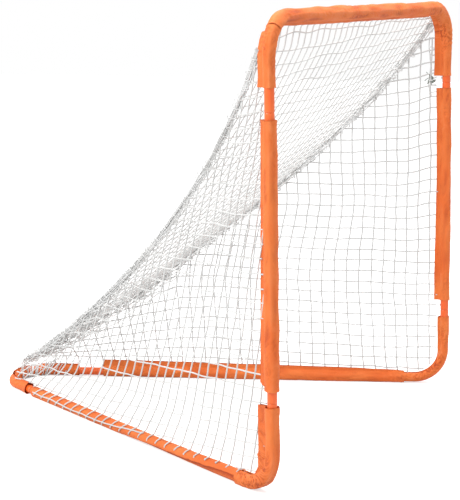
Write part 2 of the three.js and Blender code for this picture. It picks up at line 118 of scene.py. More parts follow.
def ramp(x, start, end):
    """0 before start, 1 after end, and smooth between. start may be the larger."""
    t = np.clip((np.asarray(x, float) - start) / (end - start), 0, 1)
    return t * t * (3 - 2 * t)


def unit(vectors):
    return vectors / np.maximum(np.linalg.norm(vectors, axis=-1, keepdims=True), 1e-12)


# ---- Meshes ----
def mesh_object(name, points, quads, material, attributes=()):
    """A mesh of four-sided faces. attributes are (name, vector for each point)."""
    points = np.asarray(points, np.float32).reshape(-1, 3)
    quads = np.asarray(quads, np.int32).reshape(-1, 4)
    mesh = bpy.data.meshes.new(name)
    mesh.vertices.add(len(points))
    mesh.vertices.foreach_set("co", points.ravel())
    mesh.loops.add(quads.size)
    mesh.loops.foreach_set("vertex_index", quads.ravel())
    mesh.polygons.add(len(quads))
    mesh.polygons.foreach_set("loop_start", np.arange(0, quads.size, 4, dtype=np.int32))
    mesh.update(calc_edges=True)
    mesh.polygons.foreach_set("use_smooth", np.ones(len(quads), bool))
    for label, values in attributes:
        attribute = mesh.attributes.new(label, "FLOAT_VECTOR", "POINT")
        attribute.data.foreach_set("vector", np.asarray(values, np.float32).ravel())
    mesh.materials.append(material)
    piece = bpy.data.objects.new(name, mesh)
    bpy.context.scene.collection.objects.link(piece)
    return piece


def grid_quads(rows, columns, wrap=False):
    """Faces of a grid of points, whose columns may close on themselves."""
    r = np.arange(rows - 1)[:, None]
    c = np.arange(columns if wrap else columns - 1)[None, :]
    after = (c + 1) % columns
    here, below = r * columns, (r + 1) * columns
    return np.stack([here + c, below + c, below + after, here + after], -1).reshape(-1, 4)


class Route:
    """A flat path of straight runs and round turns, sampled finely, with a side and a fin direction at each point."""

    def __init__(self, start, heading, normal, moves, step=0.004, tilt=0.0):
        points, ahead, bend = [np.array(start, float)], [unit(np.array(heading, float))], [0.0]
        for kind, *size in moves:
            here, forward = points[-1], ahead[-1]
            inward = np.cross(forward, normal)
            if kind == "run":
                count = max(1, round(size[0] / step))
                for i in range(1, count + 1):
                    points.append(here + forward * size[0] * i / count)
                    ahead.append(forward)
                    bend.append(0.0)
            else:
                turn, radius = size
                count = max(4, round(turn * radius / step))
                for i in range(1, count + 1):
                    angle = turn * i / count
                    points.append(here + forward * radius * math.sin(angle) + inward * radius * (1 - math.cos(angle)))
                    ahead.append(forward * math.cos(angle) + inward * math.sin(angle))
                    bend.append(1.0)
        self.points, self.ahead = np.array(points), unit(np.array(ahead))
        self.bend = np.array(bend)
        gaps = np.linalg.norm(np.diff(self.points, axis=0), axis=1)
        self.along = np.concatenate([[0], np.cumsum(gaps)])
        self.length = self.along[-1]
        inward = np.cross(self.ahead, normal)
        self.side = np.array(normal) * math.cos(tilt) + inward * math.sin(tilt)
        self.fin = -np.array(normal) * math.sin(tilt) + inward * math.cos(tilt)

    def place(self, x, y):
        """Points of one section swept along the route, or of a section for each station."""
        return self.points[:, None] + self.side[:, None] * x[..., None] + self.fin[:, None] * y[..., None]


# ---- Materials ----
class Finish:
    """A node material on one principled shader, with short calls for the nodes that drive it."""

    def __init__(self, name, **settings):
        self.material = bpy.data.materials.new(name)
        self.material.use_nodes = True
        self.tree = self.material.node_tree
        self.shader = self.tree.nodes["Principled BSDF"]
        for label, value in settings.items():
            self.shader.inputs[label.replace("_", " ")].default_value = value

    def node(self, kind, output=0, inputs=(), **settings):
        made = self.tree.nodes.new("ShaderNode" + kind)
        for label, value in settings.items():
            setattr(made, label, value)
        for key, value in dict(inputs).items():
            if isinstance(value, bpy.types.NodeSocket):
                self.tree.links.new(value, made.inputs[key])
            else:
                made.inputs[key].default_value = value
        return made.outputs[output]

    def math(self, operation, first, second=0.0):
        return self.node("Math", operation=operation, inputs={0: first, 1: second})

    def wave(self, value, period):
        return self.math("SINE", self.math("MULTIPLY", value, 2 * math.pi / period))

    def noise(self, vector, scale, detail=3.0, roughness=0.5):
        inputs = {"Vector": vector, "Scale": scale, "Detail": detail, "Roughness": roughness}
        return self.node("TexNoise", inputs=inputs)

    def spread(self, value, low, high, to_low=0.0, to_high=1.0):
        inputs = {0: value, 1: low, 2: high, 3: to_low, 4: to_high}
        return self.node("MapRange", inputs=inputs)

    def mix(self, share, first, second):
        return self.node("Mix", 2, data_type="RGBA", inputs={0: share, 6: first, 7: second})

    def vary(self, value, low, high, first, second):
        """A colour that goes from first to second as value goes from low to high."""
        return self.mix(self.spread(value, low, high), first, second)

    def attribute(self, name):
        vector = self.node("Attribute", 1, attribute_name=name, attribute_type="GEOMETRY")
        parts = self.tree.nodes.new("ShaderNodeSeparateXYZ")
        self.tree.links.new(vector, parts.inputs[0])
        return vector, *parts.outputs

    def place(self):
        return self.node("TexCoord", 3)

    def drive(self, label, socket):
        self.tree.links.new(socket, self.shader.inputs[label])

    def bump(self, layers):
        """Bump from (height, depth in metres) layers, the coarsest first."""
        normal = None
        for height, depth in layers:
            inputs = {"Height": height, "Distance": depth, "Strength": 1.0}
            if normal is not None:
                inputs["Normal"] = normal
            normal = self.node("Bump", inputs=inputs)
        self.drive("Normal", normal)


def rgb(red, green, blue):
    return (red, green, blue, 1.0)


def sleeve_fabric():
    """Plain-woven polyester, its weave laid along the cloth, with painted shade in the folds and a painted highlight
    on the ridges.
    """
    finish = Finish("sleeve_fabric", Roughness=0.62, Sheen_Weight=0.10, Sheen_Roughness=0.45, Specular_IOR_Level=0.35)
    finish.shader.inputs["Sheen Tint"].default_value = rgb(1.0, 0.72, 0.52)
    _, along, around, fold = finish.attribute("cloth")
    yarn = 0.0011
    weave = finish.math("MULTIPLY", finish.wave(along, yarn), finish.wave(around, yarn))
    place = finish.place()
    cloudy = finish.noise(place, 9.0, 4.0)
    slub = finish.noise(place, 420.0, 2.0)
    colour = finish.vary(cloudy, 0.35, 0.65, rgb(0.82, 0.152, 0.022), rgb(0.88, 0.215, 0.046))
    # painted shade: the fold valleys of the cloth's relief are darkened
    colour = finish.mix(finish.spread(fold, -0.0026, 0.0002, 0.80, 0.0), colour, rgb(0.42, 0.045, 0.007))
    # painted highlight: the ridges of the cloth's relief are lightened
    colour = finish.mix(finish.spread(fold, 0.0004, 0.0020, 0.0, 0.35), colour, rgb(0.95, 0.30, 0.11))
    colour = finish.mix(finish.spread(slub, 0.30, 0.75, 0.0, 0.12), colour, rgb(0.70, 0.11, 0.02))
    finish.drive("Base Color", colour)
    finish.drive("Roughness", finish.spread(cloudy, 0.3, 0.7, 0.56, 0.72))
    wrinkle = finish.noise(place, 26.0, 3.0)
    finish.bump([(wrinkle, 0.0040), (finish.noise(place, 60.0, 4.0), 0.0010), (weave, 0.00016), (slub, 0.0001)])
    return finish.material


def frame_paint():
    """Baked powder paint with a fine orange-peel surface, rubbed paler where the parts slide together."""
    finish = Finish("frame_paint", Roughness=0.34, Coat_Weight=0.25, Coat_Roughness=0.2)
    _, wear, _, _ = finish.attribute("wear")
    place = finish.place()
    rubbed = finish.noise(place, 130.0, 5.0, 0.65)
    cloudy = finish.noise(place, 14.0, 3.0)
    colour = finish.vary(cloudy, 0.35, 0.65, rgb(0.87, 0.118, 0.012), rgb(0.90, 0.150, 0.022))
    scraped = finish.math("GREATER_THAN", finish.math("MULTIPLY", rubbed, wear), 0.5)
    colour = finish.mix(finish.math("MULTIPLY", scraped, 0.8), colour, rgb(0.42, 0.40, 0.38))
    finish.drive("Base Color", colour)
    finish.drive("Roughness", finish.spread(rubbed, 0.3, 0.8, 0.28, 0.46))
    finish.bump([(finish.noise(place, 700.0, 2.0), 0.00005), (rubbed, 0.00003)])
    return finish.material


def closure_tape():
    """Woven hook-and-loop tape: a fuzzy face of short loops."""
    finish = Finish("closure_tape", Roughness=0.9, Sheen_Weight=0.6)
    place = finish.place()
    loops = finish.node("TexVoronoi", inputs={"Vector": place, "Scale": 900.0})
    # painted shade: the tape darkens where the loops' bump is lowest, in the hollows between them
    finish.drive("Base Color", finish.vary(loops, 0.0, 0.8, rgb(0.55, 0.085, 0.02), rgb(0.80, 0.17, 0.05)))
    finish.bump([(loops, 0.0004)])
    return finish.material


def zinc_steel():
    """Zinc-plated spring steel with fine scratches and small dull spots."""
    finish = Finish("zinc_steel", Metallic=1.0, Roughness=0.3)
    place = finish.place()
    stretched = finish.node("Mapping", inputs={"Vector": place, "Scale": (1.0, 1.0, 14.0)})
    scratches = finish.noise(stretched, 260.0, 5.0, 0.7)
    dull = finish.noise(place, 90.0, 3.0)
    finish.drive("Base Color", finish.vary(dull, 0.4, 0.7, rgb(0.62, 0.63, 0.65), rgb(0.48, 0.49, 0.50)))
    finish.drive("Roughness", finish.spread(scratches, 0.3, 0.7, 0.22, 0.45))
    finish.bump([(scratches, 0.00003)])
    return finish.material


def twine_finish(name, light, dark, ply_pitch=0.0062):
    """Twisted twine: three plies round the cord, a fuzzy surface and a little grime."""
    finish = Finish(name, Roughness=0.8, Sheen_Weight=0.3, Specular_IOR_Level=0.25)
    _, along, cosine, sine = finish.attribute("strand")
    turn = finish.math("ARCTAN2", sine, cosine)
    advance = finish.math("MULTIPLY", along, 2 * math.pi / ply_pitch)
    lay = finish.math("ADD", finish.math("MULTIPLY", turn, 3.0), advance)
    plies = finish.math("ABSOLUTE", finish.math("SINE", finish.math("MULTIPLY", lay, 0.5)))
    place = finish.place()
    grime = finish.noise(place, 6.0, 4.0)
    fuzz = finish.noise(place, 1500.0, 2.0)
    colour = finish.vary(grime, 0.35, 0.7, light, dark)
    # painted shade: the grooves between the plies are darkened
    colour = finish.mix(finish.spread(plies, 0.0, 0.35, 0.5, 0.0), colour, dark)
    finish.drive("Base Color", colour)
    finish.bump([(plies, 0.0004), (fuzz, 0.00015)])
    return finish.material


FLOOR_GLOW = 0.62  # so that the floor the camera sees is white


def floor_finish():
    """A seamless white studio floor, which glows for the camera alone."""
    finish = Finish("studio_floor", Roughness=0.9, Specular_IOR_Level=0.1)
    finish.shader.inputs["Emission Color"].default_value = rgb(1, 1, 1)
    grain = finish.noise(finish.place(), 40.0, 3.0)
    finish.drive("Base Color", finish.vary(grain, 0.3, 0.7, rgb(0.62, 0.62, 0.62), rgb(0.64, 0.64, 0.64)))
    seen = finish.node("LightPath")
    finish.drive("Emission Strength", finish.math("MULTIPLY", seen, FLOOR_GLOW))
    return finish.material


FABRIC = sleeve_fabric()
PAINT = frame_paint()
TAPE = closure_tape()
ZINC = zinc_steel()
# The nets' twine is one cord in lit and shaded copies, which is painted light: net_twine_lit is lighter for the left
# net's outside that faces the light, net_twine is darker for the right net's inside in shade, and net_twine_roof is
# lighter for the roof.
TWINE = twine_finish("net_twine", rgb(0.66, 0.66, 0.655), rgb(0.56, 0.56, 0.55))
ROOF_TWINE = twine_finish("net_twine_roof", rgb(0.74, 0.74, 0.73), rgb(0.64, 0.64, 0.63))
LIT_TWINE = twine_finish("net_twine_lit", rgb(0.68, 0.68, 0.67), rgb(0.58, 0.58, 0.57))
PALE_LACING = twine_finish("net_lacing_pale", rgb(0.84, 0.84, 0.835), rgb(0.74, 0.74, 0.73))
LACING = twine_finish("net_lacing", rgb(0.74, 0.74, 0.735), rgb(0.64, 0.64, 0.63))
TIE = twine_finish("tie_cord", rgb(0.30, 0.34, 0.30), rgb(0.18, 0.22, 0.19), 0.004)


# ---- Tubes ----
TUBE_SIDES = 40
WORN_REACH = 0.02


def turned_tube(name, route, profile, worn):
    """A hollow tube along a route. profile lists (distance along, radius) down the outside and back up the inside;
    worn lists the distances of the places that rub."""
    rows, wear = [], []
    turn = np.linspace(0, 2 * math.pi, TUBE_SIDES, endpoint=False)
    cosine, sine = np.cos(turn), np.sin(turn)
    side = route.side[0]
    for distance, radius in profile:
        inside = np.clip(distance, 0, route.length)
        at = np.array([np.interp(inside, route.along, route.points[:, k]) for k in range(3)])
        ahead = unit(np.array([np.interp(inside, route.along, route.ahead[:, k]) for k in range(3)]))
        at = at + ahead * (distance - inside)
        rows.append(at + radius * (cosine[:, None] * side + sine[:, None] * np.cross(ahead, side)))
        wear.append(max([0.0] + [1 - abs(distance - spot) / WORN_REACH for spot in worn]))
    quads = grid_quads(len(rows), TUBE_SIDES, wrap=True)
    last = (len(rows) - 1) * TUBE_SIDES
    column = np.arange(TUBE_SIDES)
    after = (column + 1) % TUBE_SIDES
    quads = np.concatenate([quads, np.stack([last + column, column, after, last + after], -1)])
    values = np.repeat(np.array(wear)[:, None], TUBE_SIDES, 0).reshape(-1, 1) * np.ones((1, 3))
    return mesh_object(name, np.concatenate(rows), quads, PAINT, [("wear", values)])


def tube_profile(route, neck_start, neck_end):
    """The outside of a tube from its start to its end, then the inside back again. A necked end steps down to the
    spigot's size over a short swage, and runs on past the route."""
    inner_tube, inner_spigot = TUBE_R - WALL, SPIGOT_R - WALL
    step, swage, rim = 0.008, 0.006, 0.0003
    outside, inside = [], []
    if neck_start:
        outside += [(-SPIGOT, SPIGOT_R - rim), (-SPIGOT + 2 * rim, SPIGOT_R)]
        outside += [(-s, SPIGOT_R) for s in np.arange(SPIGOT - step, 0.001, -step)]
        outside += [(0.0002, SPIGOT_R), (0.001, SPIGOT_R + 0.0006), (0.0022, TUBE_R - 0.0002), (0.0032, TUBE_R)]
        inside += [(-SPIGOT, inner_spigot), (0.0, inner_spigot), (swage, inner_tube)]
    else:
        outside += [(0.0, TUBE_R - rim), (rim, TUBE_R)]
        inside += [(0.0, inner_tube + rim), (rim, inner_tube)]
    middle = [s for s in route.along[::2] if swage < s < route.length - swage]
    outside += [(s, TUBE_R) for s in middle]
    inside += [(s, inner_tube) for s in middle[1:-1]]
    end = route.length
    if neck_end:
        outside += [(end - 0.0032, TUBE_R), (end - 0.0022, TUBE_R - 0.0002), (end - 0.001, SPIGOT_R + 0.0006)]
        outside += [(end + s, SPIGOT_R) for s in np.arange(-0.0002, SPIGOT - step, step)]
        outside += [(end + SPIGOT - 2 * rim, SPIGOT_R), (end + SPIGOT, SPIGOT_R - rim)]
        inside += [(end - swage, inner_tube), (end, inner_spigot), (end + SPIGOT, inner_spigot)]
    else:
        outside += [(end - rim, TUBE_R), (end, TUBE_R - rim)]
        inside += [(end - rim, inner_tube), (end, inner_tube + rim)]
    return outside + inside[::-1]


DRILL_OUT = 0.0125


def drill(piece, spots):
    """Cuts round button holes through one wall of a tube: spots are (centre on the axis, direction)."""
    for at, facing in spots:
        bpy.ops.mesh.primitive_cylinder_add(vertices=24, radius=HOLE_R, depth=0.016)
        cutter = bpy.context.object
        direction = Vector(facing).normalized()
        turn = Vector((0, 0, 1)).rotation_difference(direction)
        cutter.matrix_world = Matrix.LocRotScale(Vector(at) + direction * DRILL_OUT, turn, None)
        cut = piece.modifiers.new("hole", "BOOLEAN")
        cut.operation, cut.solver, cut.object = "DIFFERENCE", "EXACT", cutter
        bpy.context.view_layer.update()
        made = bpy.data.meshes.new_from_object(piece.evaluated_get(bpy.context.evaluated_depsgraph_get()))
        piece.modifiers.clear()
        piece.data = made
        bpy.data.objects.remove(cutter)


# ---- The frame's paths ----
def flat(x, y, z=0.0):
    return np.array([x, y, z], float)


class Side:
    """One side's upright plane: `along` runs back over the base bar and `across` is the plane's own normal."""

    def __init__(self, name):
        self.name = name
        self.spec = SIDES[name]
        sign = self.sign = self.spec["sign"]
        self.along = flat(-sign * math.sin(HALF_APEX), math.cos(HALF_APEX))
        self.across = flat(-math.cos(HALF_APEX), -sign * math.sin(HALF_APEX))
        self.outward = -sign * self.across
        self.foot = flat(sign * HALF_MOUTH, MOUTH_Y)
        self.buttons = {
            "lower": (self.at(0, LOWER_SEAM + BUTTON_OFFSET), self.along),
            "upper": (self.at(0, UPPER_SEAM + BUTTON_OFFSET), self.along),
            "rear": (self.at(REAR_SEAM - BUTTON_OFFSET, BASE_Z), -self.across),
        }

    def at(self, s, z, out=0.0):
        """Points of the plane at a distance s behind the post and a height z."""
        s, z, out = np.broadcast_arrays(np.asarray(s, float), np.asarray(z, float), np.asarray(out, float))
        return self.foot + s[..., None] * self.along + z[..., None] * UP + out[..., None] * self.outward

    def base_route(self, top=LOWER_SEAM, bar_end=REAR_SEAM, step=0.004):
        moves = [("run", top - BASE_Z - BEND), ("turn", math.pi / 2, BEND), ("run", bar_end - BEND)]
        return Route(self.at(0, top), DOWN, self.across, moves, step)

    def post_route(self, high, low):
        return Route(self.at(0, high), DOWN, self.across, [("run", high - low)])

    def bar_route(self, start, end):
        return Route(self.at(start, BASE_Z), self.along, self.across, [("run", end - start)])


LEFT, RIGHT_SIDE = Side("left"), Side("right")
BOTH = (LEFT, RIGHT_SIDE)


def apex_route(start_left, start_right, tilt=0.0, step=0.004):
    moves = [
        ("run", APEX_TANGENT - start_left),
        ("turn", math.pi - 2 * HALF_APEX, APEX_BEND),
        ("run", APEX_TANGENT - start_right),
    ]
    return Route(LEFT.at(start_left, BASE_Z), LEFT.along, UP, moves, step, tilt)


def add_tube(node, body, route, necks, worn, holes):
    """Turns a tube, drills its button holes and puts it in its CAD node's place."""
    tube = turned_tube(f"{node}_shell", route, tube_profile(route, *necks), worn)
    drill(tube, holes)
    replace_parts(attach(tube, body), node)


def make_tubes():
    for side in BOTH:
        name, holes = side.name, side.buttons
        base = side.base_route()
        worn = (-0.002, base.length)
        add_tube(f"{name}_base_tube", "base", base, (True, False), worn, [holes["lower"], holes["rear"]])
        post = side.post_route(UPPER_SEAM, LOWER_SEAM + FIT_GAP)
        worn = (-0.002, post.length)
        add_tube(f"{name}_post_tube", f"{name}_post", post, (True, False), worn, [holes["lower"], holes["upper"]])

    apex = apex_route(REAR_SEAM + FIT_GAP, REAR_SEAM + FIT_GAP)
    worn = (-0.002, apex.length + 0.002)
    add_tube("apex_tube", "base", apex, (True, True), worn, [side.buttons["rear"] for side in BOTH])

    start = flat(-HALF_MOUTH, MOUTH_Y, UPPER_SEAM + FIT_GAP)
    leg = BAR_Z - BEND - UPPER_SEAM - FIT_GAP
    quarter = ("turn", math.pi / 2, BEND)
    moves = [("run", leg), quarter, ("run", 2 * (HALF_MOUTH - BEND)), quarter, ("run", leg)]
    top = Route(start, UP, FRONT, moves)
    holes = [side.buttons["upper"] for side in BOTH]
    add_tube("top_frame_tube", "top_frame", top, (False, False), (0.0, top.length), holes)


# ---- Sleeves ----
WRAP_R = 0.0162  # a wrap's radius round its tube
FIN_ROOT, FIN_HALF = 0.0209, 0.0032  # where the two layers of a fin meet, and half their distance
LOWEST = -(BASE_Z - 0.0004)  # the ground, from the axis of a base tube
CLOTH = 0.0008
CLOTH_STEP = 0.0019


def teardrop(reach):
    """A wrap's section from one edge of its fin round the tube to the other edge: places, outward normals and the
    distance along it."""
    high = math.atan2(FIN_ROOT, FIN_HALF) - math.acos(WRAP_R / math.hypot(FIN_HALF, FIN_ROOT))
    arc = np.linspace(high, -math.pi / 2, 30)
    right = [(FIN_HALF + 0.0002, reach), (FIN_HALF, FIN_ROOT + 0.004), (FIN_HALF - 0.0003, FIN_ROOT)]
    right += [(WRAP_R * math.cos(a), WRAP_R * math.sin(a)) for a in arc]
    left = [(-x, y) for x, y in right[:-1]][::-1]
    line = np.array(right + left)
    gone = np.concatenate([[0], np.cumsum(np.linalg.norm(np.diff(line, axis=0), axis=1))])
    count = 2 * round(gone[-1] / CLOTH_STEP / 2) + 1
    even = np.linspace(0, gone[-1], count)
    line = np.stack([np.interp(even, gone, line[:, k]) for k in range(2)], -1)
    for _ in range(2):
        line[1:-1] = (line[:-2] + 2 * line[1:-1] + line[2:]) / 4
    tangent = np.gradient(line, axis=0)
    normal = unit(np.stack([-tangent[:, 1], tangent[:, 0]], -1))
    normal *= np.sign((normal * (line - [0, 0.008])).sum(-1))[:, None]
    return line, normal, even


def shell(name, outer, cloth, material, facing):
    """A sheet of cloth with a thickness, from the grid of points of its outer face and the way that face looks."""
    rows, columns = outer.shape[:2]
    down = np.gradient(outer, axis=0)
    across = np.gradient(outer, axis=1)
    normal = unit(np.cross(down, across))
    if (normal * facing).sum() < 0:
        normal = -normal
    inner = outer - normal * CLOTH
    count = rows * columns
    face = grid_quads(rows, columns)
    grid = np.arange(count).reshape(rows, columns)
    rims = []
    for edge, flip in ((grid[0], False), (grid[-1], True), (grid[:, 0], True), (grid[:, -1], False)):
        strip = np.stack([edge[:-1], edge[1:], edge[1:] + count, edge[:-1] + count], -1)
        rims.append(strip[:, ::-1] if flip else strip)
    quads = np.concatenate([face[:, ::-1], face + count, *rims])
    values = np.concatenate([cloth.reshape(-1, 3)] * 2)
    points = np.concatenate([outer.reshape(-1, 3), inner.reshape(-1, 3)])
    return mesh_object(name, points, quads, material, [("cloth", values)])


def folds(value):
    """Turns smooth noise into rounded ridges with narrow valleys between them."""
    return 2 * np.sqrt(np.abs(value) + 0.01) - 1


def relief(route, angle, seed, ridge, crumple, bend_fold, gather, inner_side):
    """How far the cloth stands in or out, and a shade value that the fabric paints darker in the fold valleys and
    lighter on the ridges: lengthwise ridges, crumples, folds in the bends and bunched places."""
    s = route.along[:, None]
    a, b, c, d = (Noise(seed * 10 + k) for k in range(4))
    wander = 0.5 * a(s * 9.0, seed * 3.7)
    lift = 0 * (s + angle)
    for k, middle in enumerate((-1.9, -0.7, 0.8, 2.1)):
        strength = 0.55 + 0.45 * b(s * 7.0, k * 5.3 + 0.5)
        lift += ridge * strength * np.exp(-(((angle - middle - wander * (1 if k % 2 else -0.7)) / 0.26) ** 2))
    broad = a(s * 14.0, angle * 0.9 + 4.0)
    fine = folds(c(s * 46.0 + 1.5 * broad, angle * 1.7 + 3.0 * broad + 9.0))
    lift += crumple * (1.2 * broad + 0.8 * fine * ramp(b(s * 6.0, angle + 11.0), -0.3, 0.6))
    turn = np.convolve(np.pad(route.bend, 6, mode="edge"), np.ones(13) / 13, mode="valid")[:, None]
    crease = folds(d(s * 80.0 + 2.2 * broad, angle * 0.55 + 2.0))
    # shade drives painted shade and painted highlight in the fabric's colour, not the cloth's shape
    shade = lift.copy()
    creased = [(bend_fold * turn * inner_side, crease)]
    for middle, width, depth in gather:
        share = np.exp(-(((s - middle) / width) ** 2))
        creased.append((depth * share, folds(c(s * 95.0 + 1.2 * broad, angle * 1.1 + 20.0))))
    for depth, shape in creased:
        shade += depth * shape
        lift += 0.5 * depth * (shape + 0.8)
    return lift, shade, turn


def cover(name, body, route, x, y, facing, around, shade, ends, nodes):
    """Makes a sleeve's piece from its sections, and says what flat cloth it was cut from and how much painted shade
    its folds get.
    """
    outer = route.place(x, y) + route.ahead[:, None] * ends[..., None]
    cloth = np.stack(np.broadcast_arrays(route.along[:, None], around[None, :], shade), -1)
    piece = shell(name, outer, cloth, FABRIC, facing)
    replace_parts(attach(piece, body), *nodes)


def hems(route):
    """A doubled hem at each end of a sleeve, with a stitch line sunk in it."""
    hem, stitch = 0, 0
    for s in (route.along[:, None], route.length - route.along[:, None]):
        hem = np.maximum(hem, 1 - ramp(s, 0.0075, 0.0095))
        stitch = stitch + np.exp(-(((s - 0.0065) / 0.0012) ** 2))
    return 0.0006 * hem - 0.0004 * stitch


def sleeve(name, body, route, reach, seed, nodes, ridge=0.0015, crumple=0.0014, bend_fold=0.0034, gather=(),
           slant=(0.0, 0.0), fin_fold=0.0, on_ground=False, loose=((0, 0.0),), tape_from=None):
    """A fabric sleeve: a wrap and its fin along a route. reach lists (distance, height of the fin), loose lists
    (distance, how far the wrap stands off its usual radius), gather lists (distance, width, depth) of places where
    the cloth is bunched; slant moves the fin's corner at either end along the route, and tape_from is where closure
    tape starts in a straight sleeve's fin."""
    tallest = max(0.026, max(height for _, height in reach))
    line, normal, around = teardrop(tallest)
    x, y = line[:, 0], line[:, 1]
    s = route.along[:, None]
    angle = np.arctan2(x, -y)[None, :]
    on_tube = 1 - ramp(y, FIN_ROOT - 0.006, FIN_ROOT + 0.001)[None, :]
    on_fin = ramp(y, FIN_ROOT - 0.002, FIN_ROOT + 0.006)[None, :]
    inner_side = np.clip(y / WRAP_R, -1.0, 1.0)[None, :] * 0.5 + 0.5
    lift, shade, turn = relief(route, angle, seed, ridge, crumple, bend_fold, gather, inner_side)
    stand = np.interp(s, *np.transpose(loose))
    lift = np.maximum(lift, -0.0022 - np.minimum(stand, 0))
    a, b, c, d = (Noise(seed * 10 + k) for k in range(4, 8))

    lift_all = lift * (on_tube + 0.15 * on_fin) + stand * on_tube + hems(route)

    def drape(y):
        fold = folds(d(s * 20.0 + 0.9 * a(s * 9.0, y * 20.0), y * 22.0 - s * 9.0 + 1.0 * b(s * 8.0, y * 12.0)))
        return fin_fold * fold * (1 - 0.8 * ramp(y, tallest - 0.012, tallest))[None, :]

    def fin_sway(y):
        sway = 0.0014 * c(s * 22.0, 30.0) + 0.0016 * turn * d(s * 40.0, 5.0) + drape(y)
        return sway * np.clip((y[None, :] - FIN_ROOT) / 0.012, 0, 1)

    height = np.interp(s, *np.transpose(reach)) + 0.0010 * a(s * 16.0, 50.0)
    share = (height - FIN_ROOT) / (tallest - FIN_ROOT)
    fin_y = FIN_ROOT + (y[None, :] - FIN_ROOT) * share
    sunk = FIN_ROOT - (FIN_ROOT - y[None, :]) * (1 + 0.30 * np.minimum(share, 0))
    grid_y = np.where(y[None, :] > FIN_ROOT, np.where(share > 0, fin_y, FIN_ROOT), sunk)
    grid_y = grid_y + np.minimum(share, 0) * 0.006 * ramp(y, 0.010, FIN_ROOT)[None, :] + normal[None, :, 1] * lift_all
    grid_x = x[None, :] + normal[None, :, 0] * lift_all + fin_sway(y) * on_fin
    if on_ground:
        grid_y = np.maximum(grid_y, LOWEST)
    share_y = np.clip((y - WRAP_R) / (tallest - WRAP_R), 0, 1)[None, :]
    ends = (1 - ramp(s, 0.0, 0.05)) * (slant[0] * share_y + 0.0015 * b(3.0, angle * 1.3))
    ends = ends - ramp(s, route.length - 0.05, route.length) * (slant[1] * share_y + 0.0015 * b(8.0, angle * 1.3))
    if tape_from is not None:
        ribbon = np.linspace(0.0222, tallest - 0.0030, 7)
        ribbon_y = FIN_ROOT + (ribbon[None, :] - FIN_ROOT) * np.maximum(share, 0.12)
        held = slice(int(np.searchsorted(route.along, tape_from)) + 1, -2)
        for part, offset in (("hook", 0.0011), ("loop", -0.0011)):
            tape(nodes[0].replace("_sleeve", f"_{part}_strip"), body, route, held, fin_sway(ribbon) + offset, ribbon_y)
    facing = route.side[:, None] * normal[None, :, 0, None] + route.fin[:, None] * normal[None, :, 1, None]
    # painted shade: the fin's drape folds darken the cloth's colour along with the fold shade of the wrap
    shade = shade * (on_tube + 0.5 * on_fin) + 0.7 * drape(y) * on_fin
    cover(name, body, route, grid_x, grid_y, facing, around, shade, ends, nodes)


def tape(node, body, route, held, x, y):
    """A ribbon of closure tape inside a sleeve, over a stretch of its route."""
    outer = route.place(x, y + 0 * x)[held]
    cloth = np.zeros(outer.shape)
    facing = np.cross(outer[1, 1] - outer[0, 0], UP)
    piece = shell(node.replace("_strip", "_tape"), outer, cloth, TAPE, facing)
    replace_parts(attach(piece, body), node)


def lap_edge(s):
    """Angle, from the top of the left base bar round its outside, of the free edge of its lapped wrap."""
    return np.radians(np.interp(s, (0.09, 0.18, 0.26, 0.36, 0.52, 0.66, 0.80), (66, 68, 80, 98, 106, 130, 150)))


def lap_radius(s):
    return 0.0170 - 0.0026 * ramp(s, 0.15, 0.60)


LAP_STAND = 0.0034


def lapped_sleeve(name, body, route, start, seed, nodes):
    """The left base bar's wrap: its fin is folded down and lies round the outside of the bar."""
    count, under = 96, math.radians(45)
    s = route.along[:, None]
    turned = np.linspace(-under, 2 * math.pi, count)[None, :]
    b, c = Noise(seed * 10 + 5), Noise(seed * 10 + 6)
    edge = lap_edge(s + start) + 0.10 * b(s * 26.0, 4.0) + 0.05 * c(s * 60.0, 9.0)
    angle = edge + turned
    lift, shade, _ = relief(route, np.mod(angle, 2 * math.pi) - math.pi, seed, 0.0008, 0.0006, 0.0, (), 0.0)
    lift = np.maximum(lift, -0.0006)
    stand = LAP_STAND * ramp(turned, 2 * math.pi - 2.1, 2 * math.pi - 0.9)
    pucker = 0.0014 * np.abs(c(s * 34.0, 2.0)) * ramp(turned, 2 * math.pi - 0.5, 2 * math.pi)
    radius = lap_radius(s + start) + stand + pucker + lift + hems(route)
    x, y = radius * np.sin(angle), np.maximum(radius * np.cos(angle), LOWEST)
    facing = route.side[:, None] * np.sin(angle)[..., None] + route.fin[:, None] * np.cos(angle)[..., None]
    ends = 0.0015 * b(s * 0 + 3.0, angle) * (1 - ramp(s, 0, 0.05))
    ribbon = edge + np.linspace(-0.75, -0.15, 7)[None, :]
    for part, offset in (("loop", 0.0009), ("hook", 0.0017)):
        tall = lap_radius(s + start) + offset
        x_tape, y_tape = tall * np.sin(ribbon), tall * np.cos(ribbon)
        tape(f"left_base_bar_{part}_strip", body, route, slice(2, -2), x_tape, y_tape)
    around = (turned[0] + under) * 0.016
    # painted shade: darker along the flap's free edge and on the under layer just below it
    under_edge_shade = np.exp(-(((turned - 2 * math.pi) / 0.07) ** 2)) + 1.4 * ramp(turned, 0.9, 0.05)
    cover(name, body, route, x, y, facing, around, shade - 0.0022 * under_edge_shade, ends, nodes)


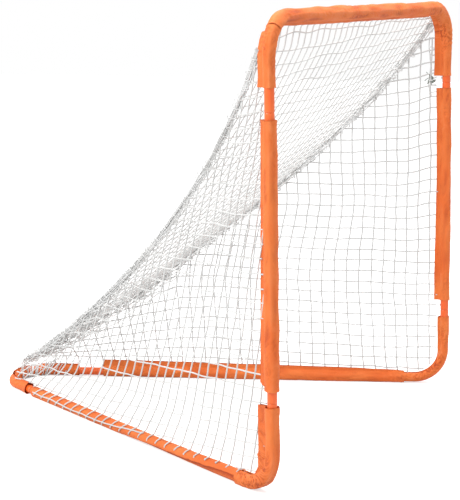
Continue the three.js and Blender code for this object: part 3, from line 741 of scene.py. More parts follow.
def make_sleeves():
    bend = math.pi / 2 * BEND
    for side in BOTH:
        name, spec = side.name, side.spec
        left = side is LEFT
        corner = side.base_route(spec["corner_top"], BEND + CORNER_RUN + CORNER_LAP, 0.0025)
        leg = corner.length - CORNER_RUN - CORNER_LAP - bend
        if left:
            reach = [(0, 0.053), (leg + 0.03, 0.055), (leg + 0.09, 0.034), (leg + 0.12, 0.020), (leg + bend, 0.018)]
            loose = [(0, 0.0017), (leg, 0.0015), (leg + bend, 0.0022), (corner.length, 0.0048)]
            gather = [(0.012, 0.010, 0.0012), (leg + 0.10, 0.040, 0.0042), (leg + 0.16, 0.02, 0.003)]
        else:
            reach = [(0, 0.021), (leg, 0.020), (leg + bend, 0.018)]
            loose = [(0, -0.0020), (leg, -0.0016), (leg + bend, 0.0), (corner.length, 0.0016)]
            gather = [(leg + bend, 0.028, 0.0030), (leg * 0.5, 0.05, 0.0022)]
        nodes = [f"{name}_lower_corner_sleeve"]
        sleeve(f"{name}_lower_corner_cover", "base", corner, reach, 11 if left else 12, nodes,
               bend_fold=0.0062 if left else 0.0050, gather=gather, slant=(0.004, 0.002), on_ground=True,
               fin_fold=0.0022 if left else 0.0, loose=loose)
        start = BEND + CORNER_RUN + SLEEVE_SPACE
        bar = side.bar_route(start, spec["bar_end"])
        if left:
            lapped_sleeve("left_base_bar_cover", "base", bar, start, 13, ["left_base_bar_sleeve"])
        else:
            reach = [(0, 0.022), (0.06, 0.026), (0.20, 0.030), (0.40, 0.033), (0.70, 0.037), (0.90, 0.040)]
            sleeve("right_base_bar_cover", "base", bar, reach, 14, ["right_base_bar_sleeve"], ridge=0.0010,
                   crumple=0.0012, gather=[(0.0, 0.05, 0.0020)], on_ground=True, loose=[(0, -0.0018), (0.10, 0.0)],
                   tape_from=0.02)
        post = side.post_route(MID_HIGH, MID_LOW)
        if left:
            reach = [(0, 0.031), (0.19, 0.0335), (0.39, 0.0375), (0.57, 0.040), (0.68, 0.042)]
            loose = [(0, 0.0010), (0.3, 0.0024), (0.68, 0.0026)]
            gather = [(0.64, 0.03, 0.0008)]
        else:
            reach = [(0, 0.031), (0.10, 0.029), (0.30, 0.028), (0.60, 0.033)]
            loose = [(0, -0.0016), (0.12, 0.0), (0.45, 0.0008), (0.66, -0.0012)]
            gather = [(0.10, 0.06, 0.0012), (0.63, 0.05, 0.0010)]
        sleeve(f"{name}_post_cover", f"{name}_post", post, reach, 15 if left else 16, [f"{name}_post_sleeve"],
               gather=gather, slant=(0.0, 0.014 if left else 0.0), loose=loose, tape_from=0.0)

    apex = apex_route(APEX_FROM, APEX_TO, -math.pi / 2, 0.003)
    sleeve("apex_cover", "base", apex, [(0, 0.024), (1, 0.024)], 17, ["apex_sleeve"], bend_fold=0.0016, ridge=0.0005,
           crumple=0.0006, on_ground=True, loose=[(0, 0.0026), (0.05, -0.0004), (0.10, -0.0008)])

    half = math.pi / 4
    leg_top = BAR_Z - BEND
    straight = 2 * (HALF_MOUTH - BEND)
    bend_centre = flat(BEND - HALF_MOUTH, MOUTH_Y, leg_top)
    start = bend_centre + BEND * flat(-math.cos(half), 0, math.sin(half))
    moves = [("turn", half, BEND), ("run", straight - 2 * SLEEVE_SPACE)]
    bar = Route(start, flat(math.sin(half), 0, math.cos(half)), FRONT, moves, 0.004, math.pi / 4)
    gather = [(0.02, 0.03, 0.0014), (bar.length - 0.05, 0.05, 0.0020), (0.42, 0.10, 0.0012)]
    sleeve("crossbar_cover", "top_frame", bar, [(0, 0.032), (0.3, 0.035), (1.1, 0.033)], 18, ["crossbar_sleeve"],
           gather=gather, ridge=0.0022, crumple=0.0022, loose=[(0, 0.0004), (0.3, 0.0022), (1.1, 0.0034)],
           tape_from=half * BEND)

    tilt = math.pi / 2 - HALF_APEX
    low = LEFT.spec["top_low"]
    moves = [("run", leg_top - low), ("turn", half - SLEEVE_SPACE / BEND, BEND)]
    left = Route(LEFT.at(0, low), UP, FRONT, moves, 0.0025, tilt)
    sleeve("left_upper_corner_cover", "top_frame", left, [(0, 0.042), (leg_top - low, 0.039), (1, 0.030)], 19,
           ["left_upper_corner_sleeve"], loose=[(0, -0.0018), (leg_top - low, -0.0016), (left.length, 0.0008)],
           gather=[(left.length - 0.01, 0.02, 0.0014)])
    low = RIGHT_SIDE.spec["top_low"]
    moves = [("run", SLEEVE_SPACE), ("turn", math.pi / 2, BEND), ("run", leg_top - low)]
    start = flat(HALF_MOUTH - BEND - SLEEVE_SPACE, MOUTH_Y, BAR_Z)
    right = Route(start, RIGHT, FRONT, moves, 0.0025, tilt)
    sleeve("right_upper_corner_cover", "top_frame", right, [(0, 0.036), (right.length, 0.038)], 20,
           ["right_upper_corner_sleeve"], loose=[(0, 0.0030), (0.10, 0.0004), (0.2, -0.0016)], bend_fold=0.0070,
           gather=[(0.14, 0.06, 0.0034)])


# ---- Twine ----
TWINE_SIDES = 6
TWINE_CAP = np.array([[0, 1, 2, 3], [0, 3, 4, 5]])


def tubes(lines, radius):
    """Closed tubes along lines, which are (points, reference direction): points, faces and strand values."""
    turn = np.linspace(0, 2 * math.pi, TWINE_SIDES, endpoint=False)
    cosine, sine = np.cos(turn), np.sin(turn)
    all_points, all_quads, all_strands, base = [], [], [], 0
    for line, reference in lines:
        if len(line) < 2:
            continue
        ahead = unit(np.gradient(line, axis=0))
        first = unit(np.cross(ahead, reference))
        second = np.cross(first, ahead)
        around = cosine[None, :, None] * first[:, None] + sine[None, :, None] * second[:, None]
        ring = line[:, None] + radius * around
        along = np.concatenate([[0], np.cumsum(np.linalg.norm(np.diff(line, axis=0), axis=1))])
        strand = np.stack(np.broadcast_arrays(along[:, None], cosine[None, :], sine[None, :]), -1)
        all_points.append(ring.reshape(-1, 3))
        all_strands.append(strand.reshape(-1, 3))
        all_quads.append(grid_quads(len(line), TWINE_SIDES, wrap=True)[:, ::-1] + base)
        all_quads.append(TWINE_CAP + base)
        all_quads.append(TWINE_CAP[:, ::-1] + base + (len(line) - 1) * TWINE_SIDES)
        base += len(line) * TWINE_SIDES
    return np.concatenate(all_points), np.concatenate(all_quads), np.concatenate(all_strands)


def knot_shape():
    """A small cube rounded to a ball: its points and faces."""
    steps = np.linspace(-1, 1, 3)
    points, quads = [], []
    for axis in range(3):
        for sign in (-1, 1):
            start = len(points)
            for u in steps:
                for v in steps:
                    p = np.zeros(3)
                    p[axis], p[(axis + 1) % 3], p[(axis + 2) % 3] = sign, u, v
                    points.append(p / np.linalg.norm(p))
            for i in range(2):
                for j in range(2):
                    a = start + i * 3 + j
                    quad = [a, a + 3, a + 4, a + 1]
                    quads.append(quad if sign > 0 else quad[::-1])
    return np.array(points), np.array(quads)


def knots(places, normals, size, seed):
    """A lumpy knot at each place, a little flat against the net."""
    ball, faces = knot_shape()
    draw = np.random.default_rng(seed)
    places, normals = np.asarray(places), np.asarray(normals)
    count = len(places)
    scale = size * draw.uniform(0.85, 1.2, (count, 1, 3))
    lumps = ball[None] * scale
    through = (lumps * normals[:, None]).sum(-1, keepdims=True)
    lumps = lumps - 0.25 * through * normals[:, None]
    points = (places[:, None] + lumps).reshape(-1, 3)
    quads = (faces[None] + (np.arange(count) * len(ball))[:, None, None]).reshape(-1, 4)
    strands = np.zeros((len(points), 3))
    strands[:, 0] = points[:, 2] + points[:, 0]
    strands[:, 1] = 1
    return points, quads, strands


def join(parts):
    """Several (points, faces, strand values) as one."""
    points, quads, strands, base = [], [], [], 0
    for p, q, s in parts:
        points.append(p)
        quads.append(q + base)
        strands.append(s)
        base += len(p)
    return np.concatenate(points), np.concatenate(quads), np.concatenate(strands)


SPLIT_Z = 0.60


def add_net(name, parts, material, nodes):
    """A net piece in two halves, split at SPLIT_Z: the lower half between the base and the post, the upper half
    between the post and the crossbar."""
    points, quads, strands = join(parts)
    height = points[quads][:, :, 2].mean(1)
    halves = (
        ("lower", height < SPLIT_Z, ("base", "left_post"), (0.05, 0.55)),
        ("upper", height >= SPLIT_Z, ("left_post", "top_frame"), (0.65, 1.10)),
    )
    for label, chosen, bodies, (low, high) in halves:
        if not chosen.any():
            continue
        used, back = np.unique(quads[chosen], return_inverse=True)
        faces = back.reshape(-1, 4)
        piece = mesh_object(f"{name}_{label}", points[used], faces, material, [("strand", strands[used])])
        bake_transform(piece)
        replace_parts(piece, *nodes)


def inside_runs(points, keep, least=2):
    """The stretches of a line where keep holds."""
    runs, start = [], None
    for i, good in enumerate(list(keep) + [False]):
        if good and start is None:
            start = i
        elif not good and start is not None:
            if i - start >= least:
                runs.append(points[start:i])
            start = None
    return runs


# ---- Net ----
CELL = 0.037
TWINE_R, KNOT_R = 0.0021, 0.0030
NET_STEP = 0.006
SIDE_COLUMNS, SIDE_ROWS = 44, 32
ROOF_COLUMNS = 33
SIGHT = math.radians(19)  # how steeply the camera looks down on the left base bar
SEAM_START_Y, SEAM_END_Y = 0.036, 1.235
SEAM = {
    "left": dict(start_z=1.128, bow_y=0.300, bow_z=0.590),
    "right": dict(start_z=1.174, bow_y=0.350, bow_z=0.665),
}
SEAM_END_X, SEAM_END_Z = 0.014, 0.068
ROOF_FRONT_Y = 0.0255
REAR_Y = 1.205
TAN_APEX, COS_APEX = math.tan(HALF_APEX), math.cos(HALF_APEX)


def seam_height(name, y):
    """Height of a laced seam at a distance y behind the mouth."""
    spec = SEAM[name]
    y = np.clip(y, SEAM_START_Y, SEAM_END_Y)
    a = SEAM_START_Y - 2 * spec["bow_y"] + SEAM_END_Y
    b = 2 * (spec["bow_y"] - SEAM_START_Y)
    t = (-b + np.sqrt(b * b - 4 * a * (SEAM_START_Y - y))) / (2 * a)
    return (1 - t) ** 2 * spec["start_z"] + 2 * t * (1 - t) * spec["bow_z"] + t * t * SEAM_END_Z


def seam_half_width(y):
    start_x = HALF_MOUTH - SEAM_START_Y * TAN_APEX
    share = (y - SEAM_START_Y) / (SEAM_END_Y - SEAM_START_Y)
    return start_x + (SEAM_END_X - start_x) * share


class Net:
    """A net tied string by string. A subclass lays its strings (lines) and its knots (crossings) out on a flat
    chart, and says where a place of the chart is in the frame (place)."""

    def __init__(self, seed, normal):
        self.shake = [Noise(seed + k) for k in range(4)]
        self.normal = normal

    def parts(self, seed):
        strings = [(self.place(line[:, 0], line[:, 1]), self.normal) for line in self.lines()]
        places = self.place(*self.crossings())
        normals = np.tile(self.normal, (len(places), 1))
        return [tubes(strings, TWINE_R), knots(places, normals, KNOT_R, seed)]


class SideNet(Net):
    """One upright net, charted by the distance s behind the post and the height z."""

    def __init__(self, side, seed):
        super().__init__(seed, side.outward)
        self.side = side
        self.left = side is LEFT
        line, _, _ = teardrop(0.032)
        half = line[: len(line) // 2 + 1]
        self.face_y, self.face_x = half[::-1, 1], half[::-1, 0]

    def column(self, i, z):
        if self.left:
            base = 0.045 + 0.038 * i
            return base - (0.18 + 0.40 * base) * (z - 0.25) + 0.6 * base * np.maximum(0, 0.13 - z)
        width = 0.034 + 0.0036 * (1 - ramp(z, 0.30, 0.65))
        s = 0.048 + (i - 1) * width * (1 + 0.001 * i)
        near = ramp(s, 0.05, 0.2) * (1 - ramp(s, 0.25, 0.5))
        return s - 0.020 * near * np.clip(1 - z / 0.3, 0, 1)

    def row(self, j, s):
        if self.left:
            start = 0.0365 * j + 0.020
            slope = 0.03 + 0.08 * (1 - ramp(start, 0.15, 0.45))
            z = start - slope * np.minimum(s, 0.75)
            z = 0.020 + (z - 0.020) * (1 - 0.9 * np.maximum(0, s - 0.85))
            return z + 0.010 * (1 - ramp(s, 0.03, 0.14)) * ramp(start, 0.3, 0.8)
        start = 0.047 + 0.022 * ramp(s, 0.1, 0.9)
        height = 0.0353 * (1 - 1.28 * np.maximum(0, s - 0.85))
        z = start + j * height + 0.0013 * max(j - 20, 0)
        z = z + 0.020 * (1 - ramp(s, 0.03, 0.13)) * ramp(z, 0.3, 0.8)
        return z + 0.012 * (1 - ramp(s, 0.1, 0.25)) * ramp(z, 0.5, 0.9)

    def shaken(self, s, z):
        """The small pulls that take the net's knots off a perfect grid."""
        a, b, c, d = self.shake
        ds = 0.0022 * a(s / 0.052, z / 0.052) + 0.0045 * c(s * 6.0, z * 6.0)
        dz = 0.0022 * b(s / 0.052, z / 0.052) + 0.0045 * d(s * 6.0, z * 6.0)
        return s + ds, z + dz

    def lowest(self, s):
        radius = BEND - 0.024
        corner = BASE_Z + BEND - np.sqrt(radius**2 - np.clip(BEND - s, 0, radius) ** 2)
        if not self.left:
            return np.where(s < 0.112, corner, 0.030 - 0.018 * ramp(s, 0.35, 0.80))
        radius = lap_radius(s) + LAP_STAND + TWINE_R
        tucked = BASE_Z + radius / math.cos(SIGHT) * np.cos(lap_edge(s) - math.radians(3))
        tucked = tucked + (BASE_Z + 0.016 - tucked) * ramp(s, 1.15, 1.20)
        return np.where(s < 0.112, corner, tucked)

    def highest(self, s):
        return np.minimum(seam_height(self.side.name, s * COS_APEX) - 0.003, 1.118)

    def keep(self, s, z):
        front = np.where((z > MID_HIGH + 0.005) & (z < self.side.spec["top_low"] - 0.005), 0.030, 0.022)
        return (s > front) & (z > self.lowest(s)) & (z < self.highest(s)) & (s < REAR_Y / COS_APEX)

    def out(self, s, z):
        """How far the right net stands out of the plane: low down it lies on the outside of the sleeve."""
        y = np.maximum(z, 0.002) - BASE_Z
        on_face = np.interp(y, self.face_y, self.face_x) + TWINE_R + 0.0007
        leaving = (FIN_HALF + TWINE_R + 0.0007) * (1 - ramp(z, 0.048, 0.10))
        lying = np.where(z < 0.0478, on_face, leaving)
        return lying * ramp(s, 0.112, 0.135)

    def wrapped(self, s, z):
        """The left net hangs straight and then lies round the outside of its lapped sleeve. Rows are laid out as
        the camera sees them, so a height is turned into an angle round the bar along a falling line of sight."""
        radius = lap_radius(s) + LAP_STAND + TWINE_R + 0.0004 + 0.002 * ramp(s, 1.16, 1.20)
        radius = np.where(s < 0.112, 0.0, radius)
        share = np.clip((z - BASE_Z) * math.cos(SIGHT) / np.maximum(radius, 0.001), -1, 1)
        angle = np.arccos(share) - SIGHT
        around = (z < BASE_Z + radius) & (s > 0.112)
        tucked = 0.004 * ramp(angle, lap_edge(s) - math.radians(36), lap_edge(s) - math.radians(20))
        radius = radius - tucked
        return np.where(around, radius * np.sin(angle), 0.0), np.where(around, BASE_Z + radius * np.cos(angle), z)

    def place(self, s, z):
        y = s * COS_APEX
        out, height = self.wrapped(s, z) if self.left else (self.out(s, z), z)
        points = self.side.at(s, height, out)
        top = self.highest(s)
        share = np.clip((z - 0.06) / np.maximum(top - 0.06, 0.02), 0, 1)
        gap = HALF_MOUTH - y * TAN_APEX - seam_half_width(y)
        points[..., 0] -= self.side.sign * np.maximum(gap, 0) * share
        billow = 0.010 * self.shake[2](s * 3.1, z * 2.7) * 4 * share * (1 - share)
        return points + billow[..., None] * self.side.outward

    def lines(self):
        """Every string as points of (s, z), already clipped to the net's outline."""
        found = []
        z = np.arange(0.0, 1.13, NET_STEP)
        for i in range(SIDE_COLUMNS):
            found += self.clipped(self.column(i, z), z)
        s = np.arange(0.012, 1.31, NET_STEP)
        for j in range(SIDE_ROWS):
            found += self.clipped(s, self.row(j, s), row=True)
        return found

    def clipped(self, s, z, row=False):
        s, z = self.shaken(s, z)
        kept = self.keep(s, z)
        if row and self.left:
            kept = kept & ((s > 0.56) | (z > BASE_Z + lap_radius(s) + 0.006))
        return inside_runs(np.stack([s, z], -1), kept)

    def crossings(self):
        i, j = (k.ravel() for k in np.meshgrid(np.arange(SIDE_COLUMNS), np.arange(SIDE_ROWS)))
        s = 0.045 + 0.038 * i
        z = np.full(len(s), 0.3)
        for _ in range(12):
            z = np.array([self.row(jj, ss) for jj, ss in zip(j, s)])
            s = np.array([self.column(ii, zz) for ii, zz in zip(i, z)])
        s, z = self.shaken(s, z)
        good = self.keep(s, z) & self.keep(s, z + 0.004) & self.keep(s, z - 0.004)
        return s[good], z[good]


def roof_surface(x, y):
    """The roof at a place x across and y behind the mouth: it hangs between its front edge and the two seams."""
    x, y = np.broadcast_arrays(np.asarray(x, float), np.asarray(y, float))
    half = roof_half_width(y)
    left, right = seam_height("left", y), seam_height("right", y)
    front = BAR_Z - ROOF_FRONT_Y
    share = ramp(y, ROOF_FRONT_Y, SEAM_START_Y + 0.004)
    left, right = front + (left - front) * share, front + (right - front) * share
    u = np.clip(x / half, -1, 1)
    sag = 0.020 * (1 - u * u) * np.sin(math.pi * np.clip(y / 1.19, 0, 1))
    z = left + (right - left) * (u + 1) / 2 - sag
    return np.stack([x, y + MOUTH_Y, z], -1)


def roof_half_width(y):
    edge = 0.488 + (seam_half_width(SEAM_START_Y) - 0.488) * ramp(y, ROOF_FRONT_Y, SEAM_START_Y)
    return np.where(y < SEAM_START_Y, edge, seam_half_width(y))


class RoofNet(Net):
    """The sloping net, charted by the distance x across and y behind the mouth."""

    def __init__(self, seed):
        super().__init__(seed, unit(flat(0, 0.7, 1.0)))
        y = np.linspace(ROOF_FRONT_Y, 1.20, 600)
        middle = roof_surface(0 * y, y)
        self.y = y
        self.down = np.concatenate([[0], np.cumsum(np.linalg.norm(np.diff(middle, axis=0), axis=1))])
        self.rows = int(self.down[-1] / CELL)

    def column(self, i, y):
        return CELL * (i - 16) * (1 - 0.36 * y / 1.2) * (1 - 0.62 * ramp(y, 0.45, 1.15))

    def row(self, j, x):
        y = np.interp(CELL * (j + 0.4), self.down, self.y)
        return y + 0.003 * self.shake[3](x * 7.0, j * 1.7) + 0 * x

    def shaken(self, x, y):
        a, b, c, d = self.shake
        share = ramp(y, 0.03, 0.12)
        tangle = ramp(y, 0.65, 1.15)
        dx = 0.0025 * a(x / 0.05, y / 0.04) + 0.005 * c(x * 6.0, y * 6.0) + 0.006 * tangle * a(x * 60.0, y * 30.0)
        dy = 0.0018 * b(x / 0.05, y / 0.04) + 0.004 * d(x * 6.0, y * 6.0) + 0.012 * tangle * b(x * 60.0, y * 30.0)
        return x + dx * share, y + dy * share

    def keep(self, x, y):
        return (np.abs(x) < roof_half_width(y) - 0.002) & (y > 0.020) & (y < REAR_Y)

    def place(self, x, y):
        points = roof_surface(x, y)
        lift = 0.005 * self.shake[2](x * 5.0, y * 4.0) * ramp(y, 0.05, 0.2)
        lift = lift + 0.014 * self.shake[1](x * 45.0, y * 24.0) * ramp(y, 0.60, 1.10)
        points[..., 2] += lift
        return points

    def clipped(self, x, y):
        x, y = self.shaken(x, y)
        return inside_runs(np.stack([x, y], -1), self.keep(x, y))

    def lines(self):
        found, across = [], np.arange(-0.60, 0.60, NET_STEP)
        y = np.interp(np.arange(0, self.down[-1], NET_STEP), self.down, self.y)
        y = np.concatenate([[ROOF_FRONT_Y - 0.004], y])
        for i in range(ROOF_COLUMNS):
            found += self.clipped(self.column(i, y), y)
        for j in range(self.rows):
            found += self.clipped(across, self.row(j, across))
        return found

    def crossings(self):
        i, j = (k.ravel() for k in np.meshgrid(np.arange(ROOF_COLUMNS), np.arange(self.rows)))
        back = np.interp(CELL * (j + 0.4), self.down, self.y)
        x = self.column(i, back)
        for _ in range(4):
            back = np.array([float(self.row(jj, np.array(xx))) for jj, xx in zip(j, x)])
            x = self.column(i, back)
        x, back = self.shaken(x, back)
        good = self.keep(x, back) & self.keep(x * 1.01, back)
        return x[good], back[good]


def seam_line(side, step):
    """Points along a laced seam, with its tangent and two directions across it."""
    y = np.linspace(SEAM_START_Y, SEAM_END_Y, 800)
    points = np.stack([side.sign * seam_half_width(y), y + MOUTH_Y, seam_height(side.name, y)], -1)
    gone = np.concatenate([[0], np.cumsum(np.linalg.norm(np.diff(points, axis=0), axis=1))])
    even = np.arange(0, gone[-1], step)
    line = np.stack([np.interp(even, gone, points[:, k]) for k in range(3)], -1)
    ahead = unit(np.gradient(line, axis=0))
    outward = unit(side.outward - (ahead @ side.outward)[:, None] * ahead)
    return even, line, outward, np.cross(ahead, outward)


LACING_WIDTH = {"left": 0.0095, "right": 0.0160}
LACING_STRANDS = {"left": 22, "right": 22}
STRAND_R, HATCH_R, WOUND_R, EDGE_R, TIE_R = 0.00125, 0.0012, 0.0014, 0.0016, 0.0011
STRAND_LOW = 0.0016
OUTER_STRANDS, TANGLED = 11, 64


def above_ground(points):
    points[:, 2] = np.maximum(points[:, 2], STRAND_LOW)
    return points


def rope(side, wander):
    """The nets' two edges, bunched into one rope."""
    lines = []
    even, line, outward, upward = seam_line(side, 0.009)
    wide = LACING_WIDTH[side.name]
    for k in range(LACING_STRANDS[side.name]):
        turn = 2 * math.pi * k / OUTER_STRANDS + 1.6 * wander(even * 3.0, k * 7.1) + 0.7 * wander(even * 16.0, k * 3.3)
        reach = wide * (1.0 if k < OUTER_STRANDS else 0.5) * (0.8 + 0.35 * wander(even * 6.0, k * 5.7 + 40.0))
        offset = outward * (0.6 * reach * np.cos(turn))[:, None] + upward * (reach * np.sin(turn))[:, None]
        lines.append((line + offset, outward))
    return lines


def binding(side, wander):
    """The cord that is wound round the rope."""
    even, line, outward, upward = seam_line(side, 0.0035)
    turn = 2 * math.pi * even / 0.030 + 0.8 * wander(even * 8.0, 3.0)
    reach = LACING_WIDTH[side.name] + 0.0015 + 0.0012 * wander(even * 12.0, 9.0)
    offset = outward * (0.6 * reach * np.cos(turn))[:, None] + upward * (1.1 * reach * np.sin(turn))[:, None]
    return [(line + offset, outward)]


def tangle(side, draw, wander):
    """Slack strings that hang off the rope near the apex."""
    lines = []
    even, line, outward, upward = seam_line(side, 0.0035)
    raised = upward * np.sign(upward[:, 2:])
    for k in range(TANGLED):
        length = draw.uniform(0.08, 0.34)
        first = draw.uniform(0.64, 1.0) * even[-1] - length
        chosen = (even > first) & (even < first + length)
        here, spread = even[chosen], draw.uniform(0.006, 0.034)
        rise = spread * (draw.uniform(-2.0, 0.5) + 0.8 * wander(here * 12.0, k * 4.1))
        aside = spread * (draw.uniform(-1.2, 0.3) + 0.8 * wander(here * 14.0, k * 2.3 + 70.0))
        close = 1 - 0.80 * ramp(here, even[-1] - 0.12, even[-1])
        offset = outward[chosen] * (aside * close)[:, None] + raised[chosen] * (rise * close)[:, None]
        lines.append((line[chosen] + offset, outward[chosen]))
    return lines


def hatch(side, draw):
    """Short loops of the lacing cord, which stand out along the rope."""
    even, line, outward, upward = seam_line(side, 0.0035)
    wide = LACING_WIDTH[side.name]
    sweep = np.linspace(0, math.pi, 9)
    loops = []
    for at in np.arange(0.03, even[-1] - 0.02, 0.0185):
        k = int(np.searchsorted(even, at + draw.uniform(-0.006, 0.006)))
        k = min(max(k, 4), len(even) - 5)
        height = draw.uniform(0.004, 0.010)
        sign = 1 if draw.random() < 0.5 else -1
        lean = draw.uniform(-0.5, 0.5)
        ahead = unit(line[k + 4] - line[k - 4])
        loop = line[k] + ahead * (0.006 * np.cos(sweep) + lean * height * np.sin(sweep))[:, None]
        loop = loop + upward[k] * (sign * (0.7 * wide + height * np.sin(sweep)))[:, None]
        loops.append((loop + outward[k] * draw.uniform(-0.004, 0.004), outward[k]))
    return loops


def lacing_parts(side, seed):
    """A laced seam: the rope and its binding, the slack strings near the apex, the hatching loops, and the ends that
    are wound round the apex sleeve."""
    draw, wander = np.random.default_rng(seed), Noise(seed)
    lines = rope(side, wander) + binding(side, wander) + tangle(side, draw, wander)
    lines = [(above_ground(points), reference) for points, reference in lines]
    return [tubes(lines, STRAND_R), tubes(hatch(side, draw), HATCH_R), tubes(apex_ties(side, seed + 30), WOUND_R)]


def apex_ties(side, seed):
    """The ends of a lacing: its strands come down to the apex and are wound along the right arm of the sleeve."""
    draw, wander = np.random.default_rng(seed), Noise(seed)
    _, line, outward, upward = seam_line(side, 0.009)
    route = apex_route(APEX_FROM, APEX_TO, -math.pi / 2)
    profile, normal, _ = teardrop(0.026)
    profile = profile + normal * 0.0022
    share = np.linspace(0, 1, len(profile))
    first = int(np.searchsorted(route.points[:, 0], 0.0))
    lines = []
    for k in range(5):
        start = first + int(draw.integers(-6, 8))
        count = int(draw.integers(16, len(route.points) - start - 2))
        chosen = slice(start, start + count)
        s = route.along[chosen]
        turn = draw.uniform(0, 1) + (s - s[0]) / draw.uniform(0.035, 0.070) + 0.15 * wander(s * 20.0, k * 5.0)
        turn = np.mod(turn, 1)
        x, y = (np.interp(turn, share, profile[:, axis])[:, None] for axis in range(2))
        wound = route.points[chosen] + route.side[chosen] * x + route.fin[chosen] * y
        scatter = outward[-1] * draw.uniform(-0.005, 0.005) + upward[-1] * draw.uniform(-0.006, 0.006)
        middle = (line[-1] + scatter + wound[0]) / 2 + UP * draw.uniform(0.0, 0.008)
        down = curve_through([line[-4] + scatter, line[-1] + scatter, middle, wound[0]], 16)
        lines.append((above_ground(np.concatenate([down[:-1], wound])), UP))
    return lines


def curve_through(points, count):
    """A smooth line of count points through a few."""
    points = np.array(points, float)
    gone = np.concatenate([[0], np.cumsum(np.linalg.norm(np.diff(points, axis=0), axis=1))])
    slopes = np.gradient(points, gone, axis=0)
    t = np.linspace(0, gone[-1], count)
    k = np.clip(np.searchsorted(gone, t, side="right") - 1, 0, len(gone) - 2)
    size = gone[k + 1] - gone[k]
    u = ((t - gone[k]) / size)[:, None]
    size = size[:, None]
    return (
        (1 + 2 * u) * (1 - u) ** 2 * points[k]
        + u * (1 - u) ** 2 * size * slopes[k]
        + u * u * (3 - 2 * u) * points[k + 1]
        + u * u * (u - 1) * size * slopes[k + 1]
    )


def tie_parts(side, low, high, seed):
    """The net's edge beside an upper notch: a double border cord and the short strings that tie it to the sleeve."""
    draw, wander = np.random.default_rng(seed), Noise(seed)
    z = np.arange(low, high, 0.006)
    edge = side.at(0.047 + 0.004 * wander(z * 14.0, 2.0), z, 0.002 * wander(z * 20.0, 5.0))
    twin = side.at(0.052 + 0.005 * wander(z * 17.0, 8.0), z, 0.003 * wander(z * 15.0, 1.0) + 0.003)
    cords = [(edge, side.outward), (twin, side.outward)]
    for at in np.arange(low + 0.012, high - 0.02, 0.024):
        ends = [(0.030, at + draw.uniform(-0.006, 0.006)), (0.040, at + draw.uniform(-0.004, 0.004)), (0.051, at)]
        points = [side.at(s, height, draw.uniform(-0.001, 0.002)) for s, height in ends]
        cords.append((curve_through(points, 10), UP))
    return cords


def tie_knot(side, at, seed):
    """A few loose turns of tie cord with two ends standing out."""
    draw = np.random.default_rng(seed)
    centre = side.at(*at)
    loops = []
    for _ in range(5):
        sweep = np.linspace(0, 2 * math.pi * 0.95, 26) + draw.uniform(0, 6)
        first, second = unit(draw.normal(size=3)), unit(draw.normal(size=3))
        size = draw.uniform(0.0035, 0.0065)
        loop = centre + size * (np.cos(sweep)[:, None] * first + np.sin(sweep)[:, None] * second)
        loops.append((loop, np.cross(first, second)))
    for _ in range(3):
        away = side.along * draw.uniform(0.2, 1.0) + UP * draw.uniform(-1.0, 0.6)
        away = unit(away + side.outward * draw.uniform(-0.4, 0.4))
        bend = unit(draw.normal(size=3)) * 0.004
        loops.append((curve_through([centre, centre + away * 0.010 + bend, centre + away * 0.024], 12), side.outward))
    return loops


def make_net():
    # Each net gets its own painted-light copy of the twine: lit for the left net, shaded for the right, lighter for
    # the roof.
    for name, net, seed, finish in (
        ("left_net", SideNet(LEFT, 100), 1, LIT_TWINE),
        ("right_net", SideNet(RIGHT_SIDE, 200), 2, TWINE),
        ("roof_net", RoofNet(300), 3, ROOF_TWINE),
    ):
        add_net(name, net.parts(seed), finish, [f"{name}_panel"])
    for side, seed, finish in ((LEFT, 41, LACING), (RIGHT_SIDE, 42, PALE_LACING)):
        parts = lacing_parts(side, seed)
        add_net(f"{side.name}_lacing", parts, finish, [f"{side.name}_net_lacing"])
    ties = tie_parts(RIGHT_SIDE, 0.93, 1.12, 5)
    dark = tie_knot(RIGHT_SIDE, (0.040, 0.978, 0.002), 6) + tie_knot(RIGHT_SIDE, (0.046, 0.990, 0.002), 7)
    add_net("right_edge_cord", [tubes(ties, EDGE_R)], ROOF_TWINE, [])
    add_net("notch_ties", [tubes(dark, TIE_R)], TIE, [])


# ---- Small parts ----
BUTTON_R, BUTTON_DOME = 0.0032, 0.0018
BUTTON_TOP, BUTTON_FOOT = TUBE_R + 0.0036, 0.0089


def make_buttons():
    """Domed snap buttons, each on its own axis."""
    profile = [(BUTTON_FOOT, 0.0004), (BUTTON_FOOT, BUTTON_R)]
    for k in range(7):
        angle = math.pi / 2 * k / 6
        size = max(BUTTON_R * math.cos(angle), 0.00002)
        profile.append((BUTTON_TOP - BUTTON_DOME + BUTTON_DOME * math.sin(angle), size))
    turn = np.linspace(0, 2 * math.pi, 24, endpoint=False)
    for side in BOTH:
        for label, (at, facing) in side.buttons.items():
            first = unit(np.cross(facing, UP))
            second = np.cross(facing, first)
            ring = np.cos(turn)[:, None] * first + np.sin(turn)[:, None] * second
            rows = [at + facing * distance + ring * size for distance, size in profile]
            quads = grid_quads(len(rows), len(turn), wrap=True)
            name = f"{side.name}_{label}"
            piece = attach(mesh_object(f"{name}_button_dome", np.concatenate(rows), quads, ZINC), f"{name}_snap")
            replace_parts(piece, f"{name}_button")


def dress_cad_nodes():
    """Finishes for the CAD nodes that no piece replaces."""
    for name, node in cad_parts.items():
        finish = ZINC if name.endswith("spring_clip") else TAPE if name.endswith("_strip") else None
        if finish:
            node.data.materials.clear()
            node.data.materials.append(finish)


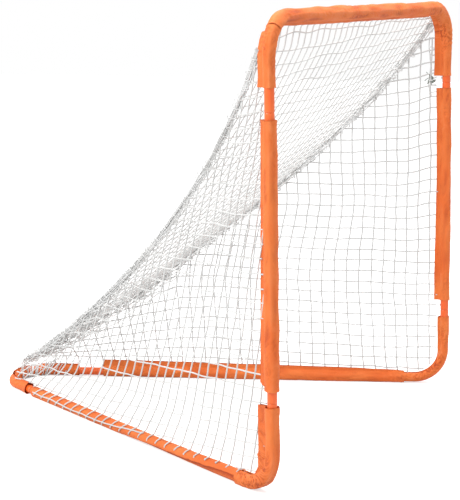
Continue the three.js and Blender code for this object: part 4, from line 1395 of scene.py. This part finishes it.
# ---- Stage, light and camera ----
def make_stage():
    bpy.ops.mesh.primitive_plane_add(size=30)
    floor = bpy.context.object
    floor.name = "studio_floor"
    floor.data.materials.append(floor_finish())
    world = bpy.data.worlds.new("studio")
    world.use_nodes = True
    nodes, links = world.node_tree.nodes, world.node_tree.links
    ray = nodes.new("ShaderNodeLightPath")
    strength = nodes.new("ShaderNodeMapRange")
    strength.inputs["To Min"].default_value, strength.inputs["To Max"].default_value = 0.92, 1.0
    links.new(ray.outputs["Is Camera Ray"], strength.inputs["Value"])
    nodes["Background"].inputs["Color"].default_value = rgb(1, 1, 1)
    links.new(strength.outputs["Result"], nodes["Background"].inputs["Strength"])
    bpy.context.scene.world = world
    for name, at, size, power in (
        ("key", (-3.4, 1.6, 3.4), 1.6, 130),
        ("overhead", (0.4, -0.8, 4.4), 1.2, 120),
    ):
        light = bpy.data.lights.new(name, "AREA")
        light.size, light.energy = size, power
        lamp = bpy.data.objects.new(name, light)
        lamp.location = at
        lamp.rotation_euler = (Vector((0, 0, 0.5)) - Vector(at)).to_track_quat("-Z", "Y").to_euler()
        bpy.context.scene.collection.objects.link(lamp)
    bpy.context.scene.view_settings.view_transform = "Standard"


def make_camera():
    yaw, pitch, roll = (math.radians(a) for a in (58.93, -8.66, -1.05))
    forward = Vector((math.sin(yaw) * math.cos(pitch), math.cos(yaw) * math.cos(pitch), math.sin(pitch)))
    level = Vector((math.cos(yaw), -math.sin(yaw), 0))
    above = level.cross(forward)
    right = math.cos(roll) * level + math.sin(roll) * above
    up = math.cos(roll) * above - math.sin(roll) * level
    data = bpy.data.cameras.new("camera")
    data.lens = 102.0
    data.shift_x, data.shift_y = 0.08, -0.08
    data.clip_end = 100
    camera = bpy.data.objects.new("camera", data)
    turn = Matrix((right, up, -forward)).transposed()
    camera.matrix_world = Matrix.LocRotScale(Vector((-3.645, -1.606 + MOUTH_Y, 1.263)), turn.to_quaternion(), None)
    bpy.context.scene.collection.objects.link(camera)
    bpy.context.scene.camera = camera


make_camera()
make_stage()
make_tubes()
make_sleeves()
make_net()
make_buttons()
dress_cad_nodes()
